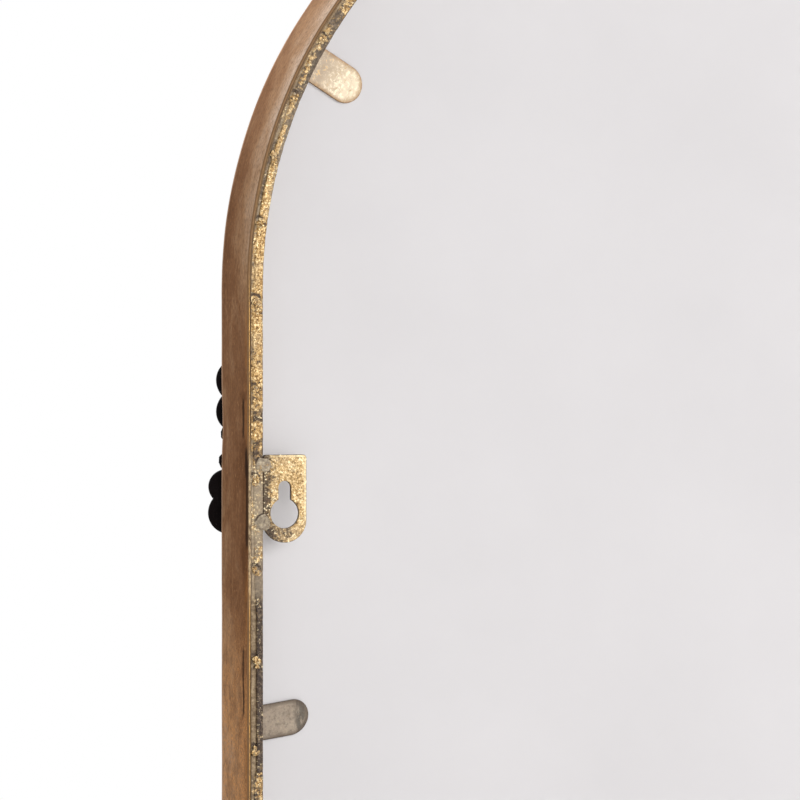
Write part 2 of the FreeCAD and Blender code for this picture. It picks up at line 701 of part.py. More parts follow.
NODES = build()
test_document()
for node in NODES:
    test_node(node)
os.makedirs("parts", exist_ok=True)
for node in NODES:
    whole(node.Shape).exportStep(f"parts/{node.Label}.step")
    print(f"{node.Label}: {len(node.Shape.Solids)} solids, {node.Shape.Volume / 1000:.2f} cm3")
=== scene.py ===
import json
import math
import bmesh
import bpy
import numpy as np
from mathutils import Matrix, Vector, noise


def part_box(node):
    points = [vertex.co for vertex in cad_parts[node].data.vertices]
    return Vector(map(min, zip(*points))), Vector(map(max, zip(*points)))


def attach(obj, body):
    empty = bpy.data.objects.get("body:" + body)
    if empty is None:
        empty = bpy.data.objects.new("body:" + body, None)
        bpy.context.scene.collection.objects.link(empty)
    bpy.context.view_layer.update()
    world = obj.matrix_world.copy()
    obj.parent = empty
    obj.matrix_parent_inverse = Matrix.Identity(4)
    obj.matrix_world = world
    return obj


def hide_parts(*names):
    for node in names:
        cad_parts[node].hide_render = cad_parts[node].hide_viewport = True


# Back view of an arched wall mirror: bronze band, gold-leafed frame bar with tack welds, keyhole plates,
# bendable tabs over a pale board, and black sprigs on the front. Metres, in the frame's own axes:
# +Z up, +Y towards the wall. A depth counts from the frame's back towards its front, along -Y.

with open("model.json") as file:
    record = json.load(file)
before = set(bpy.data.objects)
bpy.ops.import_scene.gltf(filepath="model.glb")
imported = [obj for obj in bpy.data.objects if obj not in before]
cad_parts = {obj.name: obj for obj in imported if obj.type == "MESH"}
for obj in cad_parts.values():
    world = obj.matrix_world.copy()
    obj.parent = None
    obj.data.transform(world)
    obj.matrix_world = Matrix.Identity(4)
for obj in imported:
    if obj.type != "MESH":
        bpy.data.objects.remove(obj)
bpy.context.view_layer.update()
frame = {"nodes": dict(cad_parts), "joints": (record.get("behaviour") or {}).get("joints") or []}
NODES = frame["nodes"]
MM = 0.001
BODY = "frame"
SIDES = {"left": -1, "right": 1}

# Sizes that come from the frame
BAND_LOW, BAND_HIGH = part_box("outer_band")
FRAME_LOW, FRAME_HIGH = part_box("inner_frame")
RADIUS = BAND_HIGH.x
SPRING = BAND_HIGH.z - RADIUS
FOOT = BAND_LOW.z
DEPTH = -BAND_LOW.y
LIP_FRONT = -FRAME_LOW.y
LIP_BACK = -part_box("mirror_glass")[0].y
WELD_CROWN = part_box("frame_welds")[1].y

# Frame section, from the outside inwards
BAND_THICKNESS = 1.8 * MM
GROOVE_OUTER = RADIUS - FRAME_HIGH.x
GROOVE_INNER = 4.2 * MM
GROOVE_DEPTH = 1 * MM
WALL = 7 * MM
SIGHT = 19 * MM
SOFT_EDGE = 0.25 * MM
CORNER_CLEAR = 25 * MM


# Materials

# Rays by which the camera sees the stage, directly or in metal and glass
SEEN_RAYS = ("Camera", "Glossy", "Transmission")


def srgb(red, green, blue):
    """A colour as seen on a screen, 0 to 255, as the linear colour that a shader takes."""
    def linear(level):
        share = level / 255
        return share / 12.92 if share <= 0.04045 else ((share + 0.055) / 1.055) ** 2.4
    return (linear(red), linear(green), linear(blue), 1)


class Value:
    """What a node puts out. It can be added, subtracted and multiplied."""

    def __init__(self, tree, socket):
        self.tree = tree
        self.socket = socket

    def __add__(self, other):
        return self.tree.math("ADD", self, other)

    def __mul__(self, other):
        return self.tree.math("MULTIPLY", self, other)

    def __sub__(self, other):
        return self.tree.math("SUBTRACT", self, other)

    def __rsub__(self, other):
        return self.tree.math("SUBTRACT", other, self)


class Nodes:
    """A node tree, with short ways to add to it."""

    def __init__(self, tree):
        self.nodes = tree.nodes
        self.links = tree.links

    def feed(self, socket, value):
        if isinstance(value, Value):
            self.links.new(value.socket, socket)
        else:
            socket.default_value = value

    def add(self, kind, inputs, output=0, **settings):
        node = self.nodes.new(kind)
        for name, value in settings.items():
            setattr(node, name, value)
        for key, value in inputs.items():
            self.feed(node.inputs[key], value)
        return Value(self, node.outputs[output])

    def place(self, axes="Object"):
        """Where a point lies in the object's own axes, in metres, or in other axes that are named."""
        return self.add("ShaderNodeTexCoord", {}, output=axes)

    def split(self, vector, axis):
        return self.add("ShaderNodeSeparateXYZ", {0: vector}, output=axis)

    def math(self, operation, first, second=0):
        return self.add("ShaderNodeMath", {0: first, 1: second}, operation=operation)

    def step(self, value, low, high, start=0, end=1):
        """start below low, end above high, and a soft step between them."""
        return self.add("ShaderNodeMapRange", {0: value, 1: low, 2: high, 3: start, 4: end},
                        interpolation_type="SMOOTHSTEP")

    def between(self, value, rise, fall):
        """1 between two soft steps, each given by where it leaves 0 and where it reaches 1."""
        return self.step(value, *rise) * self.step(value, *fall)

    def seen(self):
        """1 for the rays by which the camera sees the stage."""
        rays = [self.add("ShaderNodeLightPath", {}, output=f"Is {kind} Ray") for kind in SEEN_RAYS]
        return self.math("MAXIMUM", rays[0], self.math("MAXIMUM", rays[1], rays[2]))


class Surface(Nodes):
    """A procedural material: a Principled shader and the nodes that feed it."""

    def __init__(self, name, **settings):
        self.material = bpy.data.materials.new(name)
        self.material.use_nodes = True
        super().__init__(self.material.node_tree)
        self.shader = self.nodes["Principled BSDF"]
        self.set(**settings)

    def set(self, **settings):
        """Feed the shader's sockets, whose names are written with _ for a space."""
        for name, value in settings.items():
            self.feed(self.shader.inputs[name.replace("_", " ")], value)

    def value(self, name):
        return self.add("ShaderNodeAttribute", {}, output="Fac", attribute_name=name)

    def path(self):
        """Where a point lies along and across a swept or flat piece."""
        return self.add("ShaderNodeUVMap", {}, uv_map="Path")

    def noise(self, scale, detail=3, roughness=0.55, distortion=0, spot=None):
        """Noise in the object's own axes, or at another spot."""
        inputs = dict(Vector=spot or self.place(), Scale=scale, Detail=detail, Roughness=roughness,
                      Distortion=distortion)
        return self.add("ShaderNodeTexNoise", inputs)

    def brushed(self, along, across, detail, roughness, distortion=0):
        """Noise with a scale of its own along and across a piece."""
        scales = (along, across, 1)
        spot = self.add("ShaderNodeVectorMath", {0: self.path(), 1: scales}, operation="MULTIPLY")
        return self.noise(1, detail, roughness, distortion, spot)

    def ragged(self, value, texture, size):
        """A value pushed up and down by a noise."""
        return value + (texture - 0.5) * size

    def ramp(self, factor, *stops):
        """Colours by factor. A stop is a position and a colour as seen on a screen."""
        node = self.nodes.new("ShaderNodeValToRGB")
        elements = node.color_ramp.elements
        while len(elements) < len(stops):
            elements.new(0.5)
        for element, (position, colour) in zip(elements, stops):
            element.position = position
            element.color = srgb(*colour)
        self.feed(node.inputs[0], factor)
        return Value(self, node.outputs[0])

    def mix(self, factor, first, second):
        return self.add("ShaderNodeMix", {0: factor, 6: first, 7: second}, output=2, data_type="RGBA")

    def bump(self, height, distance, strength):
        return self.add("ShaderNodeBump", {"Height": height, "Distance": distance, "Strength": strength})


# Dark marks along the band: depth, lowest and highest point, half width, in mm
SCRATCHES = [(5, 31, 47, 1.6), (5.2, -83, -55, 1.3), (0.6, -14, 27, 2), (1.2, 15, 26, 2.8)]
# Inset in mm at which the band's rear corner starts
CORNER_INSET = 0.45


def bronze():
    """Antique bronze: fine grain, faint brush lines and blotches, pale where the wear value is high, which
    low down is rubbing and in the arch a painted sheen, and flecked with gold low down. A painted orange
    highlight lies on its rear corner and a painted pale highlight along its front edge. Its rear edge has a
    line of gold where gilt is high, between two dark lines of painted shade."""
    mat = Surface("bronze", Metallic=0.6, Specular_IOR_Level=0, Specular_Tint=(0.6, 0.5, 0.45, 1))
    depth = mat.split(mat.place(), "Y") * (-1 / MM)
    height = mat.split(mat.place(), "Z") * (1 / MM)
    streak = mat.brushed(36, 900, 3, 0.6)
    grain = mat.brushed(480, 820, 5, 0.7)
    flake = mat.brushed(420, 900, 5, 0.72)
    speck = mat.brushed(800, 1500, 4, 0.72)
    cloud = mat.brushed(90, 170, 5, 0.66, 0.5)
    blotch = mat.brushed(64, 110, 5, 0.62, 0.6)
    wear_and_sheen = mat.ragged(mat.value("wear_and_sheen"), blotch, 0.8)
    # The palest stops, reached high in the arch, are a painted sheen; lower down the pale is rubbed wear.
    base = mat.ramp(wear_and_sheen, (0, (107, 73, 51)), (0.14, (127, 90, 65)), (0.3, (144, 106, 78)),
                    (0.55, (180, 145, 113)), (0.8, (204, 177, 152)), (1, (226, 206, 187)))
    base = mat.mix(mat.step(streak, 0.46, 0.28, 0, 0.4), base, srgb(96, 67, 46))
    base = mat.mix(mat.step(streak, 0.55, 0.72, 0, 0.3), base, srgb(206, 164, 120))
    base = mat.mix(mat.step(grain, 0.54, 0.36, 0, 0.52), base, srgb(84, 58, 42))
    base = mat.mix(mat.step(grain, 0.58, 0.7, 0, 0.55), base, srgb(216, 172, 126))
    lower = mat.step(height, -20, -92, 0.1, 1) * mat.step(height, -120, -260, 1, 0.15)
    base = mat.mix(lower * mat.step(cloud, 0.58, 0.38, 0, 0.45), base, srgb(102, 70, 50))
    clump = lower * mat.step(cloud, 0.36, 0.62, 0.35, 1)
    base = mat.mix(clump * mat.step(speck, 0.42, 0.6, 0.1, 1), base, srgb(220, 161, 104))
    base = mat.mix(lower * mat.step(grain, 0.6, 0.68, 0, 0.55), base, srgb(222, 184, 138))
    # Painted highlight: orange light on the band's rounded rear corner, where gilt is high.
    corner_highlight = mat.step(depth, 5, 0.8, 0, 0.6) * mat.value("gilt")
    base = mat.mix(corner_highlight * mat.step(blotch, 0.38, 0.6), base, srgb(180, 122, 66))
    # Painted highlight: a pale line along the band's front edge, where it catches the light.
    front = mat.step(depth, 32.6, 33.9) * mat.step(streak, 0.34, 0.54, 0.2, 0.9)
    base = mat.mix(front, base, srgb(214, 180, 152))
    wander = depth + mat.noise(60, 2) * 2
    for middle, low, high, width in SCRATCHES:
        off = mat.math("ABSOLUTE", wander - (middle + 1))
        line = mat.step(mat.ragged(off, flake, 2.4), width, width / 2)
        line *= mat.between(height, (low - 2, low + 2), (high + 2, high - 2))
        base = mat.mix(line * 0.85, base, srgb(50, 39, 34))
    base = rear_edge(mat, base, depth, flake)
    mat.set(Base_Color=base, Roughness=mat.step(grain, 0.3, 0.7, 0.4, 0.54))
    mat.set(Normal=mat.bump(streak + grain, 0.08 * MM, 0.6))
    return mat.material


def rear_edge(mat, base, depth, flake):
    """The band's rear corner and rear face, by inset in mm: where gilt is low, painted shade where the
    rounded corner turns away into the gap by the groove and then worn gold; where it is high, a line of gold
    between two dark lines of painted shade; and weld metal where fill is high."""
    inset = mat.value("inset")
    fill = mat.value("fill")
    back = mat.step(depth, 1, 0.4)
    across = mat.step(inset, CORNER_INSET, BAND_THICKNESS / MM)
    # Painted shade on the rounded corner and the gap beside the groove, then worn gold.
    corner_shade = mat.ramp(mat.ragged(across, flake, 0.5), (0, (138, 107, 78)), (0.3, (114, 88, 64)),
                    (0.48, (74, 60, 50)), (0.8, (70, 57, 47)), (1, (132, 106, 74)))
    base = mat.mix(back * (1 - fill), base, corner_shade)
    face = back * mat.step(inset, CORNER_INSET, 0.85)
    # A line of gold between two dark lines of painted shade.
    gold_line_and_shade = mat.ramp(across, (0, (112, 80, 52)), (0.22, (70, 50, 35)), (0.38, (190, 148, 88)),
                     (0.62, (190, 148, 88)), (0.8, (52, 38, 29)))
    worn = mat.step(flake, 0.36, 0.56, 0.25, 1)
    base = mat.mix(face * mat.value("gilt") * worn, base, gold_line_and_shade)
    weld = mat.ramp(flake, (0.36, (84, 68, 53)), (0.5, (142, 124, 99)), (0.64, (188, 164, 126)))
    return mat.mix(face * fill, base, weld)


def gilding(name, gold_tones, bare_tones, grain, flecks):
    """Gold leaf in flakes over bare metal, thin where gilt is low, with pits in it and loose flecks on top.
    Where pale is high the bare metal is a smooth grey, and where scorch and painted shade are high it all is
    black in ragged patches. A high grain makes the flakes small."""
    mat = Surface(name, Specular_IOR_Level=0.25)
    gilt = mat.value("gilt")
    pale = mat.value("pale")
    lightest = srgb(*gold_tones[-1])
    patch = mat.noise(120, 3, 0.55)
    cover = mat.noise(560 * grain, 6, 0.76, 0.8) * 0.66 + patch * 0.34
    leaf = mat.step(cover - (0.71 - gilt * 0.4), -0.035, 0.045)
    tone = mat.noise(760 * grain, 6, 0.78)
    gold = mat.ramp(tone, *zip((0.37, 0.46, 0.54, 0.63), gold_tones))
    veil = mat.step(mat.noise(80, 4, 0.6), 0.48, 0.62) * 0.45
    gold = mat.mix(veil, gold, srgb(178, 156, 124))
    pits = mat.step(mat.noise(1000, 4, 0.68), 0.44, 0.36, 0, 0.82)
    gold = mat.mix(pits, gold, srgb(86, 62, 38))
    cast = mat.noise(640, 6, 0.7)
    metal = mat.ramp(cast, *zip((0.33, 0.5, 0.66), bare_tones))
    smooth = mat.ramp(cast, (0.3, (148, 130, 108)), (0.7, (196, 176, 148)))
    base = mat.mix(leaf, mat.mix(pale, metal, smooth), gold)
    # Scorch, and painted shade where the values ask for it, turn the metal black in ragged patches.
    burn = mat.value("burn") + mat.noise(430 * max(1, grain - 0.6), 5, 0.7) * 0.9
    scorched_and_shaded = mat.step(burn, 1.02, 1.2)
    blackened = mat.ramp(mat.noise(800, 4, 0.7), (0.36, (34, 26, 22)), (0.64, (98, 76, 58)))
    base = mat.mix(scorched_and_shaded * 0.92, base, blackened)
    chip = mat.noise(980, 4, 0.65) + pale * 0.05
    loose = mat.step(chip, 0.62 - flecks, 0.66 - flecks) * gilt * mat.step(patch, 0.4, 0.56)
    base = mat.mix(loose * 2.2, base, lightest)
    base = mat.mix(mat.value("rim") * 0.8, base, lightest)
    shine = mat.math("MAXIMUM", leaf * (1 - scorched_and_shaded), loose)
    mat.set(Base_Color=base, Metallic=shine * 0.5)
    mat.set(Roughness=mat.step(tone, 0.3, 0.7, 0.58, 0.38))
    mat.set(Normal=mat.bump(cover, 0.34 * MM, 1))
    return mat.material


def tab_metal():
    """Pale champagne strip: cream and gold where it is new, grey and stained where tone is high. On the pale
    strips, painted light along the length: a shaded dip near the root and lighter towards the tip.
    """
    mat = Surface("tab_metal")
    tone = mat.value("tone")
    along = mat.split(mat.path(), "X")
    cloud = mat.noise(200, 5, 0.66)
    speck = mat.noise(820, 5, 0.72)
    fleck = mat.noise(520, 5, 0.75, 0.6)
    # Painted light along the strip, for the light on a bowed strip: a shaded dip a quarter of the way out
    # and lighter towards the tip.
    pale = mat.ramp(along, (0, (174, 156, 135)), (0.25, (171, 152, 130)), (0.42, (190, 170, 144)),
                    (0.7, (222, 204, 176)), (1, (228, 211, 182)))
    pale = mat.mix(mat.step(cloud, 0.48, 0.34, 0, 0.45), pale, srgb(176, 155, 128))
    # Pale and gold flecks grow stronger towards the tip.
    towards_tip = mat.step(along, 0.3, 0.62, 0.3, 1)
    pale = mat.mix(towards_tip * mat.step(fleck, 0.5, 0.6), pale, srgb(250, 236, 206))
    pale = mat.mix(towards_tip * mat.step(fleck, 0.44, 0.36, 0, 0.8), pale, srgb(196, 158, 104))
    spot = mat.between(along, (0.1, 0.2), (0.4, 0.28))
    pale = mat.mix(spot * mat.step(fleck, 0.55, 0.63), pale, srgb(222, 178, 112))
    worn = mat.ramp(cloud, (0.32, (114, 100, 86)), (0.5, (132, 117, 101)), (0.68, (146, 131, 113)))
    worn = mat.mix(mat.step(fleck, 0.64, 0.7, 0, 0.8), worn, srgb(200, 172, 122))
    worn = mat.mix(mat.step(speck, 0.5, 0.36, 0, 0.6), worn, srgb(82, 70, 60))
    worn = mat.mix(mat.step(speck, 0.56, 0.68, 0, 0.4), worn, srgb(172, 156, 134))
    smear = mat.between(along, (0.7, 0.82), (0.98, 0.9))
    stain = smear * mat.step(mat.brushed(15, 1.3, 4, 0.65), 0.36, 0.52)
    worn = mat.mix(stain * 0.95, worn, srgb(44, 36, 30))
    # Rim along the edges, widening towards the tip: gold on the pale tabs; on the grey tabs a dark edge,
    # partly the metal's own and partly painted shade.
    rim = mat.value("rim") * mat.step(speck, 0.35, 0.52, 0.55, 1)
    rim_colour = mat.mix(tone, srgb(150, 110, 64), srgb(48, 36, 28))
    base = mat.mix(rim * 0.95, mat.mix(tone, pale, worn), rim_colour)
    mat.set(Base_Color=base, Metallic=0.3, Roughness=mat.step(cloud, 0.3, 0.7, 0.5, 0.4))
    mat.set(Normal=mat.bump(speck, 0.1 * MM, 0.5))
    return mat.material


def white_board():
    """Smooth pale laminate with faint clouds and a few specks of dust."""
    mat = Surface("white_board", Roughness=0.6, Specular_IOR_Level=0.15)
    base = mat.ramp(mat.noise(9, 4, 0.5), (0.3, (228, 225, 226)), (0.7, (234, 231, 232)))
    grains = {"Vector": mat.place(), "Scale": 26, "Randomness": 1}
    dust = mat.step(mat.add("ShaderNodeTexVoronoi", grains, output="Distance"), 0.022, 0.01)
    keep = mat.step(mat.noise(31, 1), 0.58, 0.6)
    mat.set(Base_Color=mat.mix(dust * keep, base, srgb(188, 184, 182)))
    mat.set(Normal=mat.bump(mat.noise(60, 5, 0.6), 0.12 * MM, 0.25))
    return mat.material


def mirror_silver():
    """Silvered glass, very slightly uneven."""
    mat = Surface("mirror_silver", Metallic=1, Base_Color=(0.9, 0.92, 0.92, 1))
    mat.set(Roughness=mat.step(mat.noise(14), 0.3, 0.7, 0.012, 0.03))
    return mat.material


def black_iron():
    """Satin black paint on cast iron."""
    mat = Surface("black_iron", Specular_IOR_Level=0.06)
    cast = mat.noise(520, 4, 0.6)
    mat.set(Base_Color=mat.ramp(mat.noise(90), (0.3, (9, 4, 4)), (0.7, (18, 10, 10))))
    mat.set(Roughness=mat.step(cast, 0.3, 0.7, 0.38, 0.6))
    mat.set(Normal=mat.bump(cast, 0.25 * MM, 0.6))
    return mat.material


# Gold from its darkest to its lightest tone, rough as on the bar and smooth as on the plates
ROUGH_GOLD = ((80, 58, 34), (152, 117, 71), (199, 162, 106), (252, 230, 182))
SMOOTH_GOLD = ((116, 90, 56), (176, 143, 94), (207, 174, 122), (253, 233, 190))
# Bare metal from dark to light
BAR_METAL = ((38, 30, 26), (74, 59, 49), (150, 130, 107))
PLATE_METAL = ((58, 46, 36), (112, 94, 74), (168, 148, 120))
GROOVE_METAL = ((94, 76, 56), (150, 127, 98), (192, 169, 135))
BEAD_METAL = ((112, 98, 82), (166, 150, 128), (208, 192, 166))

BRONZE = bronze()
GILDING = gilding("gold_leaf", ROUGH_GOLD, BAR_METAL, grain=1, flecks=0.03)
PLATE = gilding("plate_leaf", SMOOTH_GOLD, PLATE_METAL, grain=1.5, flecks=0.04)
GROOVE = gilding("groove_steel", ROUGH_GOLD, GROOVE_METAL, grain=1, flecks=0)
WELD = gilding("weld_metal", ROUGH_GOLD, BEAD_METAL, grain=1.3, flecks=0.03)
TAB_METAL = tab_metal()
BOARD = white_board()
SILVER = mirror_silver()
BLACK = black_iron()


# Pieces

# Points nearer than this are one point, and edges sharper than this stay sharp
MERGE = 1e-7
SHARP = math.radians(48)


def add_object(name, data):
    thing = bpy.data.objects.new(name, data)
    bpy.context.scene.collection.objects.link(thing)
    return thing


def add_piece(name, points, faces, materials, slot, stands_for=(), body=BODY, **layers):
    """A smooth mesh that rides on a body. layers may hold uv per corner, values per point and
    face_materials."""
    mesh = bpy.data.meshes.new(name)
    mesh.from_pydata([tuple(point) for point in points], [], faces)
    for material in materials:
        mesh.materials.append(material)
    if "face_materials" in layers:
        mesh.polygons.foreach_set("material_index", layers["face_materials"])
    if "uv" in layers:
        layer = mesh.uv_layers.new(name="Path")
        layer.data.foreach_set("uv", np.asarray(layers["uv"], np.float32).ravel())
    for key, value in layers.get("values", {}).items():
        attribute = mesh.attributes.new(key, "FLOAT", "POINT")
        attribute.data.foreach_set("value", np.asarray(value, np.float32))
    shell = bmesh.new()
    shell.from_mesh(mesh)
    bmesh.ops.remove_doubles(shell, verts=shell.verts, dist=MERGE)
    bmesh.ops.recalc_face_normals(shell, faces=shell.faces)
    shell.to_mesh(mesh)
    shell.free()
    mesh.shade_smooth()
    mesh.set_sharp_from_angle(angle=SHARP)
    piece = add_object(name, mesh)
    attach(piece, body)
    if stands_for:
        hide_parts(*stands_for)
    return piece


def grid_faces(rows, columns, closed_rows=False, closed_columns=False):
    """Quads of a grid of points, with the row and column numbers of their corners."""
    faces, corners = [], []
    for row in range(rows if closed_rows else rows - 1):
        for column in range(columns if closed_columns else columns - 1):
            ring = [(row, column), (row + 1, column), (row + 1, column + 1), (row, column + 1)]
            faces.append([(r % rows) * columns + c % columns for r, c in ring])
            corners.append(ring)
    return faces, corners


def ring_faces(rings, spokes, *capped):
    """Quads of a pile of closed rings of points, and a flat cap on each ring that is named."""
    caps = [list(range(ring * spokes, (ring + 1) * spokes)) for ring in capped]
    return grid_faces(rings, spokes, False, True)[0] + caps


def shell_faces(rows, columns, rim):
    """Quads of two like sheets of points, and of the strip between them along the rim, a loop of points."""
    count = rows * columns
    sheet = grid_faces(rows, columns)[0]
    other = [[corner + count for corner in face] for face in sheet]
    strip = [[a, b, b + count, a + count] for a, b in zip(rim, rim[1:] + rim[:1])]
    return sheet + other + strip


def full_turn(spokes):
    return [2 * math.pi * spoke / spokes for spoke in range(spokes)]


def direction(polar, turn):
    """The way that leans by polar from +Y, turned about it."""
    return Vector((math.sin(polar) * math.cos(turn), math.cos(polar), math.sin(polar) * math.sin(turn)))


def dome_points(rings, spokes, reach):
    """Directions of points, ring by ring, from +Y to where they lean by reach."""
    polars = [reach * ring / rings for ring in range(rings + 1)]
    return [direction(polar, turn) for polar in polars for turn in full_turn(spokes)]


def arch_path(spacing):
    """Points of the frame's outline from the middle of its foot, and the way inwards at each."""
    points, inwards = [], []

    def straight(start, end, inward):
        count = max(1, round(math.dist(start, end) / spacing))
        for share in np.arange(count) / count:
            points.append([a + (b - a) * share for a, b in zip(start, end)])
            inwards.append(inward)

    straight((0, FOOT), (RADIUS - CORNER_CLEAR, FOOT), (0, 1))
    straight((RADIUS, FOOT), (RADIUS, FOOT), (-1, 1))
    straight((RADIUS, FOOT + CORNER_CLEAR), (RADIUS, SPRING), (-1, 0))
    count = round(math.pi * RADIUS / spacing)
    for angle in np.arange(count) / count * math.pi:
        points.append([RADIUS * math.cos(angle), SPRING + RADIUS * math.sin(angle)])
        inwards.append((-math.cos(angle), -math.sin(angle)))
    straight((-RADIUS, SPRING), (-RADIUS, FOOT + CORNER_CLEAR), (1, 0))
    straight((-RADIUS, FOOT), (-RADIUS, FOOT), (1, 1))
    straight((-RADIUS + CORNER_CLEAR, FOOT), (0, FOOT), (0, 1))
    points = np.array(points)
    steps = np.linalg.norm(np.roll(points, -1, axis=0) - points, axis=1)
    return points, np.array(inwards), np.concatenate([[0], np.cumsum(steps)])


def sweep(name, profile, spacing, materials, slot, stands_for, shade, ripple, values):
    """A hoop with one closed section all round. profile lists (inset, depth), shade gives each side of the
    section its material, ripple moves a point of the section a little, and values gives the point layers."""
    outline, inwards, along = arch_path(spacing)
    section = np.array(profile)
    sides = np.linalg.norm(np.roll(section, -1, axis=0) - section, axis=1)
    across = np.concatenate([[0], np.cumsum(sides)])
    points = []
    for spot, inward in zip(outline, inwards):
        for inset, depth in section:
            more_inset, new_depth = ripple(Vector((spot[0], spot[1], depth)), inset, depth)
            x, z = spot + inward * (inset + more_inset)
            points.append((x, -new_depth, z))
    faces, corners = grid_faces(len(outline), len(section), True, True)
    uv = [(along[row], across[column]) for ring in corners for row, column in ring]
    insets = np.tile(section[:, 0], len(outline))
    depths = np.tile(section[:, 1], len(outline))
    add_piece(name, points, faces, materials, slot, stands_for, uv=uv,
              face_materials=[shade[ring[0][1]] for ring in corners],
              values=values(np.array(points), insets, depths))


def cad_points(node):
    return np.array([vertex.co for vertex in NODES[node].data.vertices])


# Longer than a weld and shorter than the way to the next one
WELD_REACH = 12 * MM


def weld_centres(node):
    """Centres of the separate welds of a CAD node."""
    left = cad_points(node)
    centres = []
    while len(left):
        near = np.linalg.norm(left - left[0], axis=1) < WELD_REACH
        centres.append(Vector((left[near].min(axis=0) + left[near].max(axis=0)) / 2))
        left = left[~near]
    return sorted(centres, key=lambda centre: (round(centre.x, 4), round(centre.z, 4)))


TACKS = weld_centres("frame_welds")
HANGER_BLOBS = weld_centres("hanger_welds")

# Finish of the frame at each height above the keyholes, in mm: share of gold leaf left on the bar, how pale
# and smooth its bare metal is, how far the groove is filled, how scorched the bar is, width of the groove
# and its scorch, which high in the arch is painted shade, gold and weld metal on the band's rear edge, and
# wear of the band at its front and its rear, with a painted sheen high in the arch
GILT_LEVELS = [(-110, 0.48), (-104, 0.32), (-40, 0.26), (-34, 0.45), (-20, 0.45), (-12, 0.4), (18, 0.4),
               (24, 0.62), (34, 0.66), (50, 0.7), (130, 0.8), (170, 0.58), (293, 0.56)]
PALE_LEVELS = [(-37, 0), (-31, 0.6), (-16, 0.5), (-10, 0.85), (18, 0.85), (22, 0), (96, 0),
               (125, 0.7), (150, 0.5), (180, 0.2), (293, 0.1)]
FILL_LEVELS = [(-110, 0.9), (-105, 0), (-42, 0), (-32, 0.95), (22, 0.95), (46, 0.85), (110, 0.8),
               (126, 0.4), (150, 0.35), (166, 0.75), (293, 0.8)]
BURN_LEVELS = [(-520, 0.3), (-109, 0.34), (-103, 0.6), (-42, 0.6), (-34, 0.1), (21, 0.1), (24, 0.7),
               (31, 0.6), (35, 0.14), (38, 0.76), (42, 0.62), (45, 0.12), (293, 0.18)]
GROOVE_WIDTHS = [(-110, 1), (-105, 2.3), (-42, 2.3), (-32, 1.4), (22, 0.6), (80, 0.6), (92, 0.8),
                 (98, 1.3), (108, 1), (122, 1), (137, 1.2), (150, 1.4), (158, 1.8), (168, 1.4),
                 (182, 0.7)]
# Groove darkening by height: scorch low down, and from about 90 mm up painted shade in the narrow groove of
# the arch.
GROOVE_SCORCH_AND_SHADE = [(-40, 0.1), (20, 0.3), (90, 0.36), (120, 0.4), (132, 0.7), (152, 0.7), (166, 0.3)]
EDGE_GILT = [(-520, 1), (-24, 0.9), (-14, 0.3), (26, 0.3), (34, 0.95), (88, 0.95), (98, 0.2), (140, 0.25),
             (160, 0.1)]
EDGE_FILL = [(-40, 0), (-30, 0.8), (-18, 0.9), (20, 0.9), (27, 0.2), (34, 0)]
# In the arch both lists rise, the rear one most: a painted sheen where the band turns up to the light, not
# wear.
FRONT_WEAR_AND_SHEEN = [(-260, 0.4), (-120, 0.7), (-95, 0.7), (-76, 0.57), (-35, 0.42), (5, 0.36), (67, 0.28),
              (108, 0.14), (141, 0.18), (170, 0.3), (206, 0.4), (293, 0.46)]
REAR_WEAR_AND_SHEEN = [(-260, 0.2), (-120, 0.38), (-95, 0.38), (-76, 0.29), (-35, 0.04), (5, -0.04), (67, 0.28),
             (108, 0.8), (141, 0.88), (170, 0.95), (206, 1.05)]


def at_height(levels, places):
    """The level at each place, held beyond both ends of the list."""
    heights, shares = zip(*levels)
    return np.interp(places[:, 2] / MM, heights, shares)


def soft_step(value, low, high):
    share = np.clip((value - low) / (high - low), 0, 1)
    return share * share * (3 - 2 * share)


def ring_burn(places, spots, radius, width):
    """1 on a ring round each weld, falling to 0 over width, weaker below the weld than above it."""
    burn = np.zeros(len(places))
    for spot in spots:
        across = places[:, 0] - spot.x
        above = places[:, 2] - spot.z
        away = np.hypot(across, above)
        side = 0.78 + 0.28 * above / np.maximum(away, 1e-6)
        burn = np.maximum(burn, side * (1 - np.abs(away - radius) / width))
    return burn


def frame_values(places, insets, depths):
    """Gold leaf and scorch on the frame bar, whose inner strip is barer in the lower part of the arch, with
    painted shade in the groove beside the band and in the groove high in the arch.
    """
    gilt = at_height(GILT_LEVELS, places)
    in_groove = insets < GROOVE_INNER
    gilt = np.where(in_groove, gilt * at_height(FILL_LEVELS, places), gilt)
    bare_strip = soft_step(insets, 5.5 * MM, 6.3 * MM) * soft_step(places[:, 2], 105 * MM, 150 * MM)
    gilt = gilt - 0.3 * bare_strip * soft_step(places[:, 2], 215 * MM, 175 * MM)
    burn = np.maximum.reduce([
        np.where(in_groove, at_height(GROOVE_SCORCH_AND_SHADE, places), at_height(BURN_LEVELS, places)),
        ring_burn(places, TACKS, 3 * MM, 1.9 * MM),
        ring_burn(places, HANGER_BLOBS, 3.3 * MM, 1.6 * MM),
        0.85 * (insets > WALL - 0.8 * SOFT_EDGE),
        # Painted shade in the groove along the band's edge.
        0.95 * (insets < GROOVE_OUTER + 0.3 * MM) * (depths < LIP_BACK)])
    return {"gilt": gilt, "burn": burn, "pale": at_height(PALE_LEVELS, places),
            "wear_and_sheen": np.full(len(places), 0.4), "inset": insets / MM}


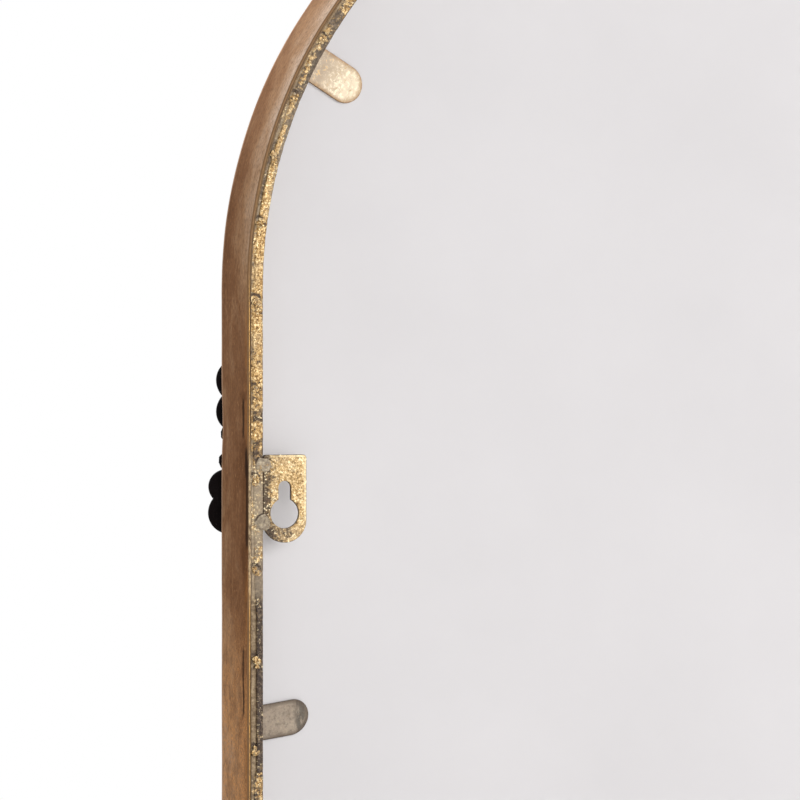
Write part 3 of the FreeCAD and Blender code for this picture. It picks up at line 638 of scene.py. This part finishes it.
def band_values(places, insets, depths):
    """Wear of the band with a painted sheen in the arch, from its front edge to its rear edge, and gold and
    weld metal on its rear edge.
    """
    # The rear part takes the rear list, whose rise in the arch is the painted sheen.
    rear = (1 - depths / DEPTH) ** 1.7
    wear_and_sheen = at_height(FRONT_WEAR_AND_SHEEN, places) * (1 - rear) + at_height(REAR_WEAR_AND_SHEEN, places) * rear
    return {"wear_and_sheen": wear_and_sheen, "gilt": at_height(EDGE_GILT, places), "fill": at_height(EDGE_FILL, places),
            "inset": insets / MM}


def rough(spot, size, scale):
    """An unevenness of up to size at a point, always to one side."""
    return size * MM * abs(noise.noise(spot * scale))


# The band's crown and round edges, and a shallow dent in it at the front
CROWN = 0.2 * MM
BAND_EDGE = 0.7 * MM
DENT = 0.45 * MM
DENT_HEIGHT = 36 * MM
DENT_SPAN = 11 * MM


def bronze_band():
    """Thin band with soft edges and a slight crown, a little uneven as if bent by hand."""
    edge = [(CROWN + BAND_EDGE * (1 - math.sin(turn)), BAND_EDGE * (1 - math.cos(turn)))
            for turn in np.radians([0, 18, 36, 54, 72])]
    profile = [(BAND_THICKNESS, 0)] + edge
    profile += [(CROWN * (2 * share - 1) ** 2, DEPTH * share) for share in np.linspace(0.02, 0.98, 15)]
    profile += [(inset, DEPTH - depth) for inset, depth in edge[::-1]] + [(BAND_THICKNESS, DEPTH)]

    def ripple(spot, inset, depth):
        if inset >= BAND_THICKNESS:
            return 0, depth
        towards_front = max(0, depth / DEPTH - 0.5) * 2
        dent = DENT * math.exp(-((spot.y - DENT_HEIGHT) / DENT_SPAN) ** 2) * towards_front
        return dent + rough(spot, 0.16, 34) + rough(spot, 0.05, 130), depth
    sweep("bronze_band", profile, 2 * MM, [BRONZE], "band_bronze", ["outer_band"], [0] * len(profile),
          ripple, band_values)


def gilt_frame():
    """Bar with a gold-leafed back, a groove beside the band, an inner wall and the bronze front lip."""
    soft = SOFT_EDGE
    profile = [(GROOVE_OUTER + step * MM, GROOVE_DEPTH) for step in (0, 0.25, 0.5, 1, 1.5)]
    profile += [(GROOVE_INNER - soft, GROOVE_DEPTH), (GROOVE_INNER, GROOVE_DEPTH - soft)]
    groove_sides = len(profile) - 1
    profile += [(GROOVE_INNER + 0.05 * MM, soft), (GROOVE_INNER + soft, 0.05 * MM)]
    profile += [(inset, 0) for inset in np.linspace(GROOVE_INNER + 2 * soft, WALL - 2 * soft, 5)]
    profile += [(WALL - soft, 0.06 * MM), (WALL, soft), (WALL, 5 * MM), (WALL, 14 * MM)]
    profile += [(WALL, LIP_BACK - soft), (WALL + soft, LIP_BACK), (SIGHT - soft, LIP_BACK)]
    lip_start = len(profile) - 1
    profile += [(SIGHT, LIP_BACK + soft), (SIGHT, LIP_FRONT - soft)]
    profile += [(inset, LIP_FRONT) for inset in np.linspace(SIGHT - soft, GROOVE_OUTER + soft, 6)]
    profile += [(GROOVE_OUTER, LIP_FRONT - soft)]
    shade = [0 if side < groove_sides else 1 if side < lip_start else 2 for side in range(len(profile))]

    def ripple(spot, inset, depth):
        if depth > GROOVE_DEPTH:
            return 0, depth
        height = np.array([[0, 0, spot.y]])
        fill = at_height(FILL_LEVELS, height)[0]
        ragged = rough(spot, 0.22, 260)
        border = GROOVE_OUTER + at_height(GROOVE_WIDTHS, height)[0] * MM + ragged
        if inset <= GROOVE_INNER:
            share = (inset - GROOVE_OUTER) / (GROOVE_INNER - GROOVE_OUTER)
            new_inset = GROOVE_OUTER + share * (border - GROOVE_OUTER)
            return new_inset - inset, depth * (1 - 0.9 * fill) + rough(spot, 0.1, 240)
        share = (WALL - inset) / (WALL - GROOVE_INNER)
        new_inset = WALL - share * (WALL - border) - (ragged if inset > WALL - 2 * soft else 0)
        return new_inset - inset, depth + rough(spot, 0.1, 190)
    sweep("gilt_frame", profile, 1 * MM, [GROOVE, GILDING, BRONZE], "gilt_iron", ["inner_frame"], shade,
          ripple, frame_values)


# Welds: half sizes along X, Y and Z, the sizes of the lumps in a tack and how far they lie apart
TACK_HALF = Vector((1.5, 0.75, 1.5)) * MM
BEAD_HALF = Vector((3.4, 0.68, 3)) * MM
TACK_SCALES = (0.9, 0.8, 0.74, 0.68, 0.6, 0.52, 0.46)
TACK_SPREAD = 4.2 * MM


def lumps(name, blobs, stands_for, gilt, pits):
    """Faceted weld lumps in one mesh. A blob is centre, half sizes, turn about Y and flatness."""
    rings, spokes = 7, 11
    ways = dome_points(rings, spokes, math.pi)
    points, faces, burns = [], [], []
    for centre, half, turn, flat in blobs:
        start = len(points)
        faces += [[start + corner for corner in face] for face in ring_faces(rings + 1, spokes)]
        for way in ways:
            swell = 1 + 0.4 * noise.noise(centre * 900 + way * 1.5)
            swell += 0.26 * noise.noise(centre * 500 + way * 4)
            x, y, z = (way[axis] * half[axis] * swell for axis in range(3))
            y = math.copysign(abs(y / half[1]) ** flat * half[1], y)
            spot = centre + Vector((x * math.cos(turn) - z * math.sin(turn), y,
                                    x * math.sin(turn) + z * math.cos(turn)))
            spot.y = min(spot.y, WELD_CROWN)
            points.append(spot)
            pit = max(0, -noise.noise(centre * 700 + way * 3.2)) * pits
            burns.append(min(1, max(pit, 0.8 - way.y * 3.2)))
    values = {"gilt": np.full(len(points), gilt), "burn": burns}
    add_piece(name, points, faces, [WELD], "weld_metal", stands_for, values=values)


def tack_welds():
    """Each tack is a main lump across the groove with smaller ones piled beside it."""
    blobs = []
    for number, spot in enumerate(TACKS):
        outwards = Vector((spot.x, 0, max(spot.z - SPRING, 0)))
        if spot.z < FOOT + CORNER_CLEAR:
            outwards = Vector((0, 0, -1))
        outwards.normalize()
        along = Vector((-outwards.z, 0, outwards.x))
        turn = math.atan2(outwards.z, outwards.x)
        for share, scale in enumerate(TACK_SCALES):
            pick = Vector((number * 1.73, share * 3.11, 0.4))
            slide = along * (TACK_SPREAD * noise.noise(pick * 5))
            slide -= outwards * (0.5 + (0.9 + 2.2 * noise.noise(pick * 7)) * (share > 0)) * MM
            centre = Vector((spot.x, -0.3 * MM, spot.z)) + slide
            blobs.append((centre, TACK_HALF * scale, turn, 0.4))
    lumps("tack_welds", blobs, ["frame_welds"], gilt=0.74, pits=3)


def hanger_weld_blobs():
    """Flat beads that join the plates to the bar."""
    blobs = []
    for spot in HANGER_BLOBS:
        centre = Vector((spot.x, -0.2 * MM, spot.z))
        blobs.append((centre, BEAD_HALF, 0.5 * noise.noise(centre * 700), 0.35))
    lumps("hanger_weld_blobs", blobs, ["hanger_welds"], gilt=0.34, pits=1.2)


bronze_band()
gilt_frame()
tack_welds()
hanger_weld_blobs()


# Keyhole plates

PLATE_BEVEL = 0.22 * MM
KEYHOLE_RADIUS = 6.15 * MM
SLOT_HALF = 2.7 * MM
SLOT_RISE = 10.6 * MM
PLATE_CORNER = 1.5 * MM
# Width over which a plate goes from bright to scorched, and the longest edge of its mesh
PLATE_FADE = 20 * MM
PLATE_MESH = 1.2 * MM


def arc_points(centre, radius, first, last, count):
    return [(centre[0] + radius * math.cos(angle), centre[1] + radius * math.sin(angle))
            for angle in np.linspace(first, last, count)]


def plate_outline(half, bottom, top):
    """Half-round foot and a head with small round corners."""
    foot = bottom + half
    outline = arc_points((0, foot), half, math.pi, 2 * math.pi, 40)
    outline += arc_points((half - PLATE_CORNER, top - PLATE_CORNER), PLATE_CORNER, 0, math.pi / 2, 8)
    outline += arc_points((PLATE_CORNER - half, top - PLATE_CORNER), PLATE_CORNER, math.pi / 2, math.pi, 8)
    return outline


def keyhole_outline():
    lean = math.asin(SLOT_HALF / KEYHOLE_RADIUS)
    outline = arc_points((0, 0), KEYHOLE_RADIUS, math.pi / 2 + lean, 2.5 * math.pi - lean, 44)
    return outline + arc_points((0, SLOT_RISE), SLOT_HALF, 0, math.pi, 16)


def refine(mesh, longest):
    """Split a mesh's long edges until each is short enough to carry a layer of point values."""
    shell = bmesh.new()
    shell.from_mesh(mesh)
    long_edges = list(shell.edges)
    while long_edges:
        bmesh.ops.triangulate(shell, faces=shell.faces)
        long_edges = [edge for edge in shell.edges if edge.calc_length() > longest]
        bmesh.ops.subdivide_edges(shell, edges=long_edges, cuts=1)
    shell.to_mesh(mesh)
    shell.free()


def edge_distance(spots, outline):
    """Distance of each flat point from the nearest side of a closed outline."""
    nearest = np.full(len(spots), np.inf)
    for start, end in zip(outline, np.roll(outline, -1, axis=0)):
        side = end - start
        share = np.clip((spots - start) @ side / (side @ side), 0, 1)
        nearest = np.minimum(nearest, np.linalg.norm(spots - start - share[:, None] * side, axis=1))
    return nearest


def plate_values(points, outline, middle, hand, back):
    """Gold that is bright on the free edges and bare and scorched towards the frame, with a thin dark ring
    of painted shade round its outline.
    """
    places = np.array(points)
    share = np.clip(SIDES[hand] * (places[:, 0] - middle) / PLATE_FADE + 0.5, 0, 1)
    from_edge = edge_distance(places[:, [0, 2]] - (middle, 0), np.array(outline))
    bright_edge = soft_step(from_edge, 1.3 * MM, 0.6 * MM) * soft_step(from_edge, 0.1 * MM, 0.35 * MM)
    low = soft_step(places[:, 2], 0, -9 * MM)
    gilt = 0.94 - 0.36 * share - 0.24 * low
    # The dark ring at the very outline is painted shade at the plate's edge.
    burn = np.maximum(0.88 * share ** 1.4 + 0.12 * low, 0.9 * soft_step(from_edge, 0.35 * MM, 0.1 * MM))
    burn = np.maximum(burn, 0.8 * ring_burn(places, HANGER_BLOBS, 4.2 * MM, 2.6 * MM))
    cut_edge = places[:, 1] < back - 1.2 * PLATE_BEVEL
    rim = bright_edge * (1 - share) * (1 - low)
    return {"gilt": gilt, "burn": np.where(cut_edge, 0.9, burn), "rim": rim}


def hanger_plate(hand):
    """Plate with soft edges, cut by the keyhole, filled between its two outlines."""
    low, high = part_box(f"hanger_plate_{hand}")
    middle = (low.x + high.x) / 2
    level = (low.y + high.y) / 2
    outer = plate_outline((high.x - low.x) / 2, low.z, high.z)
    flat = bpy.data.curves.new(f"plate_outline_{hand}", "CURVE")
    flat.dimensions = "2D"
    flat.fill_mode = "BOTH"
    flat.extrude = (high.y - low.y) / 2 - PLATE_BEVEL
    flat.bevel_depth = PLATE_BEVEL
    flat.bevel_resolution = 2
    flat.offset = -PLATE_BEVEL
    for outline in (outer, keyhole_outline()):
        spline = flat.splines.new("POLY")
        spline.points.add(len(outline) - 1)
        for point, (x, z) in zip(spline.points, outline):
            point.co = (x, z, 0, 1)
        spline.use_cyclic_u = True
    carrier = add_object(f"plate_carrier_{hand}", flat)
    bpy.context.view_layer.update()
    mesh = bpy.data.meshes.new_from_object(carrier.evaluated_get(bpy.context.evaluated_depsgraph_get()))
    bpy.data.objects.remove(carrier)
    refine(mesh, PLATE_MESH)
    points = [(middle + vertex.co.x, level - vertex.co.z, vertex.co.y) for vertex in mesh.vertices]
    faces = [list(face.vertices) for face in mesh.polygons]
    plate = add_piece(f"keyhole_plate_{hand}", points, faces, [PLATE], "gilt_iron", [f"hanger_plate_{hand}"],
                      values=plate_values(points, outer, middle, hand, high.y))
    plate.modifiers.new("flat_faces", "WEIGHTED_NORMAL").keep_sharp = True


for hand in SIDES:
    hanger_plate(hand)


# Retaining tabs

TAB_ROUND = 0.22 * MM
# Less than a tab's play, so that it clears the frame when it is folded up
TAB_BOW = 0.12 * MM
# Share of a tab's length at which its mesh turns finer towards the round end
CAP_START = 0.7
ACROSS = np.array([-1, -0.99, -0.97, -0.92, -0.75, -0.5, -0.25, 0, 0.25, 0.5, 0.75, 0.92, 0.97, 0.99, 1])
# How grey and stained the tabs are, in the arch and below it
ARCH_TONE = 0.12
SIDE_TONE = 0.92


def tab(joint):
    """Round-ended strip over the board, slightly bowed, with soft edges and a rolled root."""
    name = joint["child"]
    root = Vector(joint["pos_m"])
    sideways = Vector(joint["axis"])
    upwards = Vector((0, 1, 0))
    inwards = upwards.cross(sideways)
    places = cad_points(name) - np.array(root)
    reach = places @ np.array(inwards)
    aside = places @ np.array(sideways)
    length = reach.max()
    half = np.abs(aside[reach < 1 * MM]).max()
    slant = aside[reach > length - 0.2 * MM].mean() / (length - half)
    thickness = np.ptp(places[:, 1])
    cap = CAP_START + (1 - CAP_START) * np.sin(np.linspace(0, math.pi / 2, 17)[1:])
    shares = np.concatenate([[0, 0.004, 0.012], np.linspace(0.05, CAP_START, 12), cap])
    points, rims, uv_points = [], [], []
    for side in (1, -1):
        for share in shares:
            u = share * length
            past = max(u - (length - half), 0)
            width = math.sqrt(max(half**2 - past**2, 0))
            for v in ACROSS:
                w = v * width
                edge = half - math.hypot(past, w) if past > 0 else min(half - abs(w), u + TAB_ROUND / 2)
                short = max(TAB_ROUND - edge, 0)
                drop = TAB_ROUND - math.sqrt(max(TAB_ROUND**2 - short**2, 0))
                lift = TAB_BOW * math.sin(math.pi * share) ** 2 + side * (thickness / 2 - drop)
                points.append(root + inwards * u + sideways * (w + slant * u) + upwards * lift)
                # The rim widens towards the tip; on the grey tabs it is partly painted shade along the edge.
                rims.append(max(0, 1 - edge / ((0.8 + 1.2 * share) * MM)) ** 0.6)
                uv_points.append((share, v))
    rows, columns = len(shares), len(ACROSS)
    rim = list(range(columns)) + [row * columns + columns - 1 for row in range(1, rows)]
    rim += [row * columns for row in range(rows - 2, 0, -1)]
    faces = shell_faces(rows, columns, rim)
    uv = [uv_points[corner] for face in faces for corner in face]
    tone = ARCH_TONE if name.startswith(("tab_arch", "tab_top")) else SIDE_TONE
    add_piece(f"{name}_strip", points, faces, [TAB_METAL], "tab_steel", [name], body=name, uv=uv,
              values={"tone": np.full(len(points), tone), "rim": rims})


for joint in frame["joints"]:
    tab(joint)


# Sprigs

PETAL_THICKNESS = 1.6 * MM
CUP_RADIUS = 40 * MM
RIB_HEIGHT = 0.35 * MM
RIB_WIDTH = 1.1 * MM
PETAL_WAVE = 0.25 * MM
PETAL_DROOP = 0.2 * MM
# Turn from straight outwards in degrees, spread and radius in mm of each petal
LIKE_PETALS = [(turn, 10, 9.5) for turn in (108, 180, 252, 324)]
PETALS = {"upper": [(36, 10, 9.5)] + LIKE_PETALS, "lower": [(22, 10.8, 7.5)] + LIKE_PETALS}
# Seeds on a button, their half width on a ball of radius 1 and how far they stand out of it
SEEDS = 44
SEED_WIDTH = 0.11
SEED_RISE = 0.08
# How much shorter each leaf is than its solid, and how pointed its tip is, from 0 for a square end
LEAVES = {"upper": (0.9 * MM, 0.3), "lower": (0, 0.3), "inner": (0, 0.6)}
LEAF_FOLD = 0.35 * MM
VEIN_HEIGHT = 0.1 * MM
VEINS = 7


def petal_reach(petals, turn):
    """How far the petals reach from the middle of the flower, and the angle from the petal's middle."""
    reach = []
    for angle, spread, radius in petals:
        off = turn - math.radians(angle)
        room = radius**2 - (spread * math.sin(off))**2
        reach.append(spread * math.cos(off) + math.sqrt(room) if room > 0 else 0)
    best = int(np.argmax(reach))
    return reach[best] * MM, turn - math.radians(petals[best][0])


def blossom(hand, level):
    """Cupped petals with a rib down each, rolled rims and a stalk to the stem."""
    node = f"{level}_blossom_{hand}"
    low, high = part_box(node)
    button_low, button_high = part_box(f"{level}_button_{hand}")
    hub = (button_low + button_high) / 2
    cup_back = -button_high.y - PETAL_THICKNESS
    spokes, shares = 180, np.linspace(0.06, 1, 18)
    layers = [(share, 0) for share in shares[:-1]] + [(0.985, 0.08), (1, 0.5), (0.985, 0.92)]
    layers += [(share, 1) for share in shares[-2::-1]]
    points = []
    for share, lift in layers:
        for turn in full_turn(spokes):
            reach, off = petal_reach(PETALS[level], turn)
            out = share * reach
            cup = cup_back + CUP_RADIUS - math.sqrt(CUP_RADIUS**2 - out**2)
            rib = RIB_HEIGHT * math.exp(-((off * out) / RIB_WIDTH)**2) * math.sin(math.pi * share)
            wave = PETAL_WAVE * share * math.cos(4 * off)
            depth = cup + lift * PETAL_THICKNESS - rib + wave - PETAL_DROOP * share
            x = hub.x + SIDES[hand] * out * math.cos(turn)
            points.append((x, -min(depth, -low.y), hub.z + out * math.sin(turn)))
    faces = ring_faces(len(layers), spokes, 0, len(layers) - 1)
    add_piece(f"{level}_petals_{hand}", points, faces, [BLACK], "black_iron", [node])
    back, front = -high.y / MM, cup_back / MM
    turned(f"{level}_stalk_{hand}", hub, [(2.6, back), (2.1, back + 0.3), (2.4, front), (3.4, front + 0.4)])


def turned(name, hub, profile):
    """A solid turned about a line along Y. profile lists (radius, depth) in mm from back to front."""
    spokes = 40
    points = []
    for radius, depth in profile:
        for turn in full_turn(spokes):
            x = hub.x + radius * MM * math.cos(turn)
            points.append((x, -depth * MM, hub.z + radius * MM * math.sin(turn)))
    faces = ring_faces(len(profile), spokes, 0, len(profile) - 1)
    add_piece(name, points, faces, [BLACK], "black_iron")


def button(hand, level):
    """Seed head: a dome with small seeds in a sunflower pattern."""
    node = f"{level}_button_{hand}"
    low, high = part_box(node)
    hub = (low + high) / 2
    radius = (high.x - low.x) / 2
    rise = high.y - low.y
    golden_angle = math.pi * (3 - math.sqrt(5))
    seeds = [direction(math.acos(1 - (number + 0.5) / SEEDS), number * golden_angle)
             for number in range(SEEDS)]
    rings, spokes = 26, 72
    points = []
    for way in dome_points(rings, spokes, math.pi / 2):
        nearest = min((way - seed).length for seed in seeds)
        swell = 1 - SEED_RISE + SEED_RISE * math.exp(-(nearest / SEED_WIDTH)**2)
        y = high.y - way.y * rise * swell
        points.append((hub.x + way.x * radius * swell, y, hub.z + way.z * radius * swell))
    faces = ring_faces(rings + 1, spokes, rings)
    add_piece(f"{level}_seeds_{hand}", points, faces, [BLACK], "black_iron", [node])


def leaf(hand, name):
    """Leaf with a folded midrib and side veins."""
    trim, point = LEAVES[name]
    node = f"{name}_leaf_{hand}"
    low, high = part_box(node)
    stem_low, stem_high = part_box(f"sprig_stem_{hand}")
    stem_x = (stem_low.x + stem_high.x) / 2
    places = cad_points(node)
    far =places[np.argmax(np.abs(places[:, 0] - stem_x))]
    near = places[np.argmax(np.hypot(places[:, 0] - far[0], places[:, 2] - far[2]))]
    root = Vector((near[0], 0, near[2]))
    length_way = Vector((far[0], 0, far[2])) - root
    length = length_way.length - trim
    along = length_way.normalized()
    aside = Vector((-along.z, 0, along.x))
    half_width = np.abs((places - np.array(root)) @ np.array(aside)).max()
    middle = -(low.y + high.y) / 2
    rows, columns = 40, 17
    points = []
    for front in (False, True):
        for share in np.linspace(0, 1, rows):
            width = half_width * math.sin(math.pi * share ** 1.25) ** point
            for across in np.linspace(-1, 1, columns):
                off = abs(across)
                edge = (1 - across**2) ** 0.5 * math.sin(math.pi * share) ** 0.3
                thick = (high.y - low.y) / 2 * max(edge, 0.12)
                vein = VEIN_HEIGHT * math.cos(2 * math.pi * (share * VEINS - off * 1.2)) * (1 - off)
                if front:
                    depth = middle + thick - LEAF_FOLD * off + vein
                else:
                    depth = middle - thick - LEAF_FOLD * off * 0.4
                depth = min(max(depth, -high.y), -low.y)
                spot = root + along * (length * share) + aside * (width * across)
                points.append((spot.x, -depth, spot.z))
    starts = [row * columns for row in range(rows)]
    faces = shell_faces(rows, columns, starts + [start + columns - 1 for start in starts[::-1]])
    add_piece(f"{name}_leaf_blade_{hand}", points, faces, [BLACK], "black_iron", [node])


def stem(hand):
    """Round rod, slightly hammered, with domed ends."""
    node = f"sprig_stem_{hand}"
    low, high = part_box(node)
    middle = (low + high) / 2
    radius = (high.x - low.x) / 2
    spokes = 32
    ends = np.radians(np.linspace(0, 90, 7))
    rings = [(low.z + radius * (1 - math.cos(turn)), math.sin(turn)) for turn in ends]
    rings += [(height, 1) for height in np.linspace(low.z + radius, high.z - radius, 40)[1:-1]]
    rings += [(high.z - radius * (1 - math.cos(turn)), math.sin(turn)) for turn in ends[::-1]]
    points = []
    for height, share in rings:
        for turn in full_turn(spokes):
            way = Vector((math.cos(turn), math.sin(turn), 0))
            hammered = 0.08 * abs(noise.noise(way * 1.2 + Vector((0, 0, height * 180))))
            out = radius * share * (1 - hammered)
            points.append((middle.x + way.x * out, middle.y + way.y * out, height))
    add_piece(f"stem_rod_{hand}", points, ring_faces(len(rings), spokes), [BLACK], "black_iron", [node])


for hand in SIDES:
    stem(hand)
    for level in PETALS:
        blossom(hand, level)
        button(hand, level)
    for name in LEAVES:
        leaf(hand, name)


# Solids that keep their CAD shape

def dress(node, material):
    mesh = NODES[node].data
    mesh.materials.clear()
    mesh.materials.append(material)


dress("backing_board", BOARD)
dress("mirror_glass", SILVER)
dress("tab_feet", TAB_METAL)


# Stage, light and camera

FLOOR_SPAN = 4
# How much lighter the floor looks than it is lit, near the object and far from it, and where these are
NEAR_LIFT = 0.28
FAR_LIFT = 0.7
FLOOR_NEAR = 0.9
FLOOR_FAR = 3
WHITE = (1, 1, 1, 1)
# Strength of the sky's light on the object, from below and from above
SKY_BELOW = 0.14
SKY_ABOVE = 0.3
MIDDLE = (0, 0, 0)
# Camera: its place, tilt and turn in degrees, lens and sensor in mm
EYE = (1.5868, 4.2799, 0.1643)
EYE_TILT = 88.5
EYE_TURN = 161.25
LENS = 496
SENSOR = 36


def floor():
    """Pale floor that keeps the object's shadow and fades into the white background."""
    corners = [(-1, -1), (1, -1), (1, 1), (-1, 1)]
    mesh = bpy.data.meshes.new("floor")
    mesh.from_pydata([(x * FLOOR_SPAN, y * FLOOR_SPAN, FOOT) for x, y in corners], [], [(0, 1, 2, 3)])
    mat = Surface("floor_paint", Roughness=0.7)
    paint = mat.ramp(mat.noise(3), (0.3, (232, 231, 230)), (0.7, (238, 237, 236)))
    away = mat.add("ShaderNodeVectorMath", {0: mat.place()}, output="Value", operation="LENGTH")
    lift = mat.step(away, FLOOR_NEAR, FLOOR_FAR, NEAR_LIFT, FAR_LIFT)
    mat.set(Base_Color=paint, Emission_Color=paint, Emission_Strength=mat.seen() * lift)
    mesh.materials.append(mat.material)
    ground = add_object("floor", mesh)


def sky():
    """White where it is seen, and a softer light on the object that is stronger from above."""
    world = bpy.data.worlds.new("studio")
    bpy.context.scene.world = world
    world.use_nodes = True
    light = Nodes(world.node_tree)
    strength = light.step(light.split(light.place("Generated"), "Z"), -0.2, 1, SKY_BELOW, SKY_ABOVE)
    soft = light.add("ShaderNodeBackground", {"Color": WHITE, "Strength": strength})
    white = light.add("ShaderNodeBackground", {"Color": WHITE})
    blend = light.add("ShaderNodeMixShader", {0: light.seen(), 1: soft, 2: white})
    light.feed(light.nodes["World Output"].inputs["Surface"], blend)


def lamp(name, spot, target, span, watts):
    data = bpy.data.lights.new(name, "AREA")
    data.shape = "DISK"
    data.size = span
    data.energy = watts
    light = add_object(name, data)
    light.location = spot
    light.rotation_euler = (Vector(target) - Vector(spot)).to_track_quat("-Z", "Y").to_euler()


def camera():
    """View from behind, 19 degrees from square on and a little from above, as in the photograph."""
    data = bpy.data.cameras.new("camera")
    data.sensor_width = SENSOR
    data.lens = LENS
    data.clip_end = 100
    eye = add_object("camera", data)
    eye.location = EYE
    eye.rotation_euler = (math.radians(EYE_TILT), 0, math.radians(EYE_TURN))
    bpy.context.scene.camera = eye


floor()
sky()
lamp("key", (-1.9, 2.8, 1), MIDDLE, span=2.2, watts=46)
lamp("fill", (-0.1, 3.3, 0.4), MIDDLE, span=2.4, watts=38)
lamp("top", (0.3, -0.45, 2.1), MIDDLE, span=1.4, watts=14)
lamp("kicker", (0.35, -2.6, 0.95), (0.15, 0, 0.15), span=1.2, watts=8)
camera()
bpy.context.scene.view_settings.view_transform = "Standard"
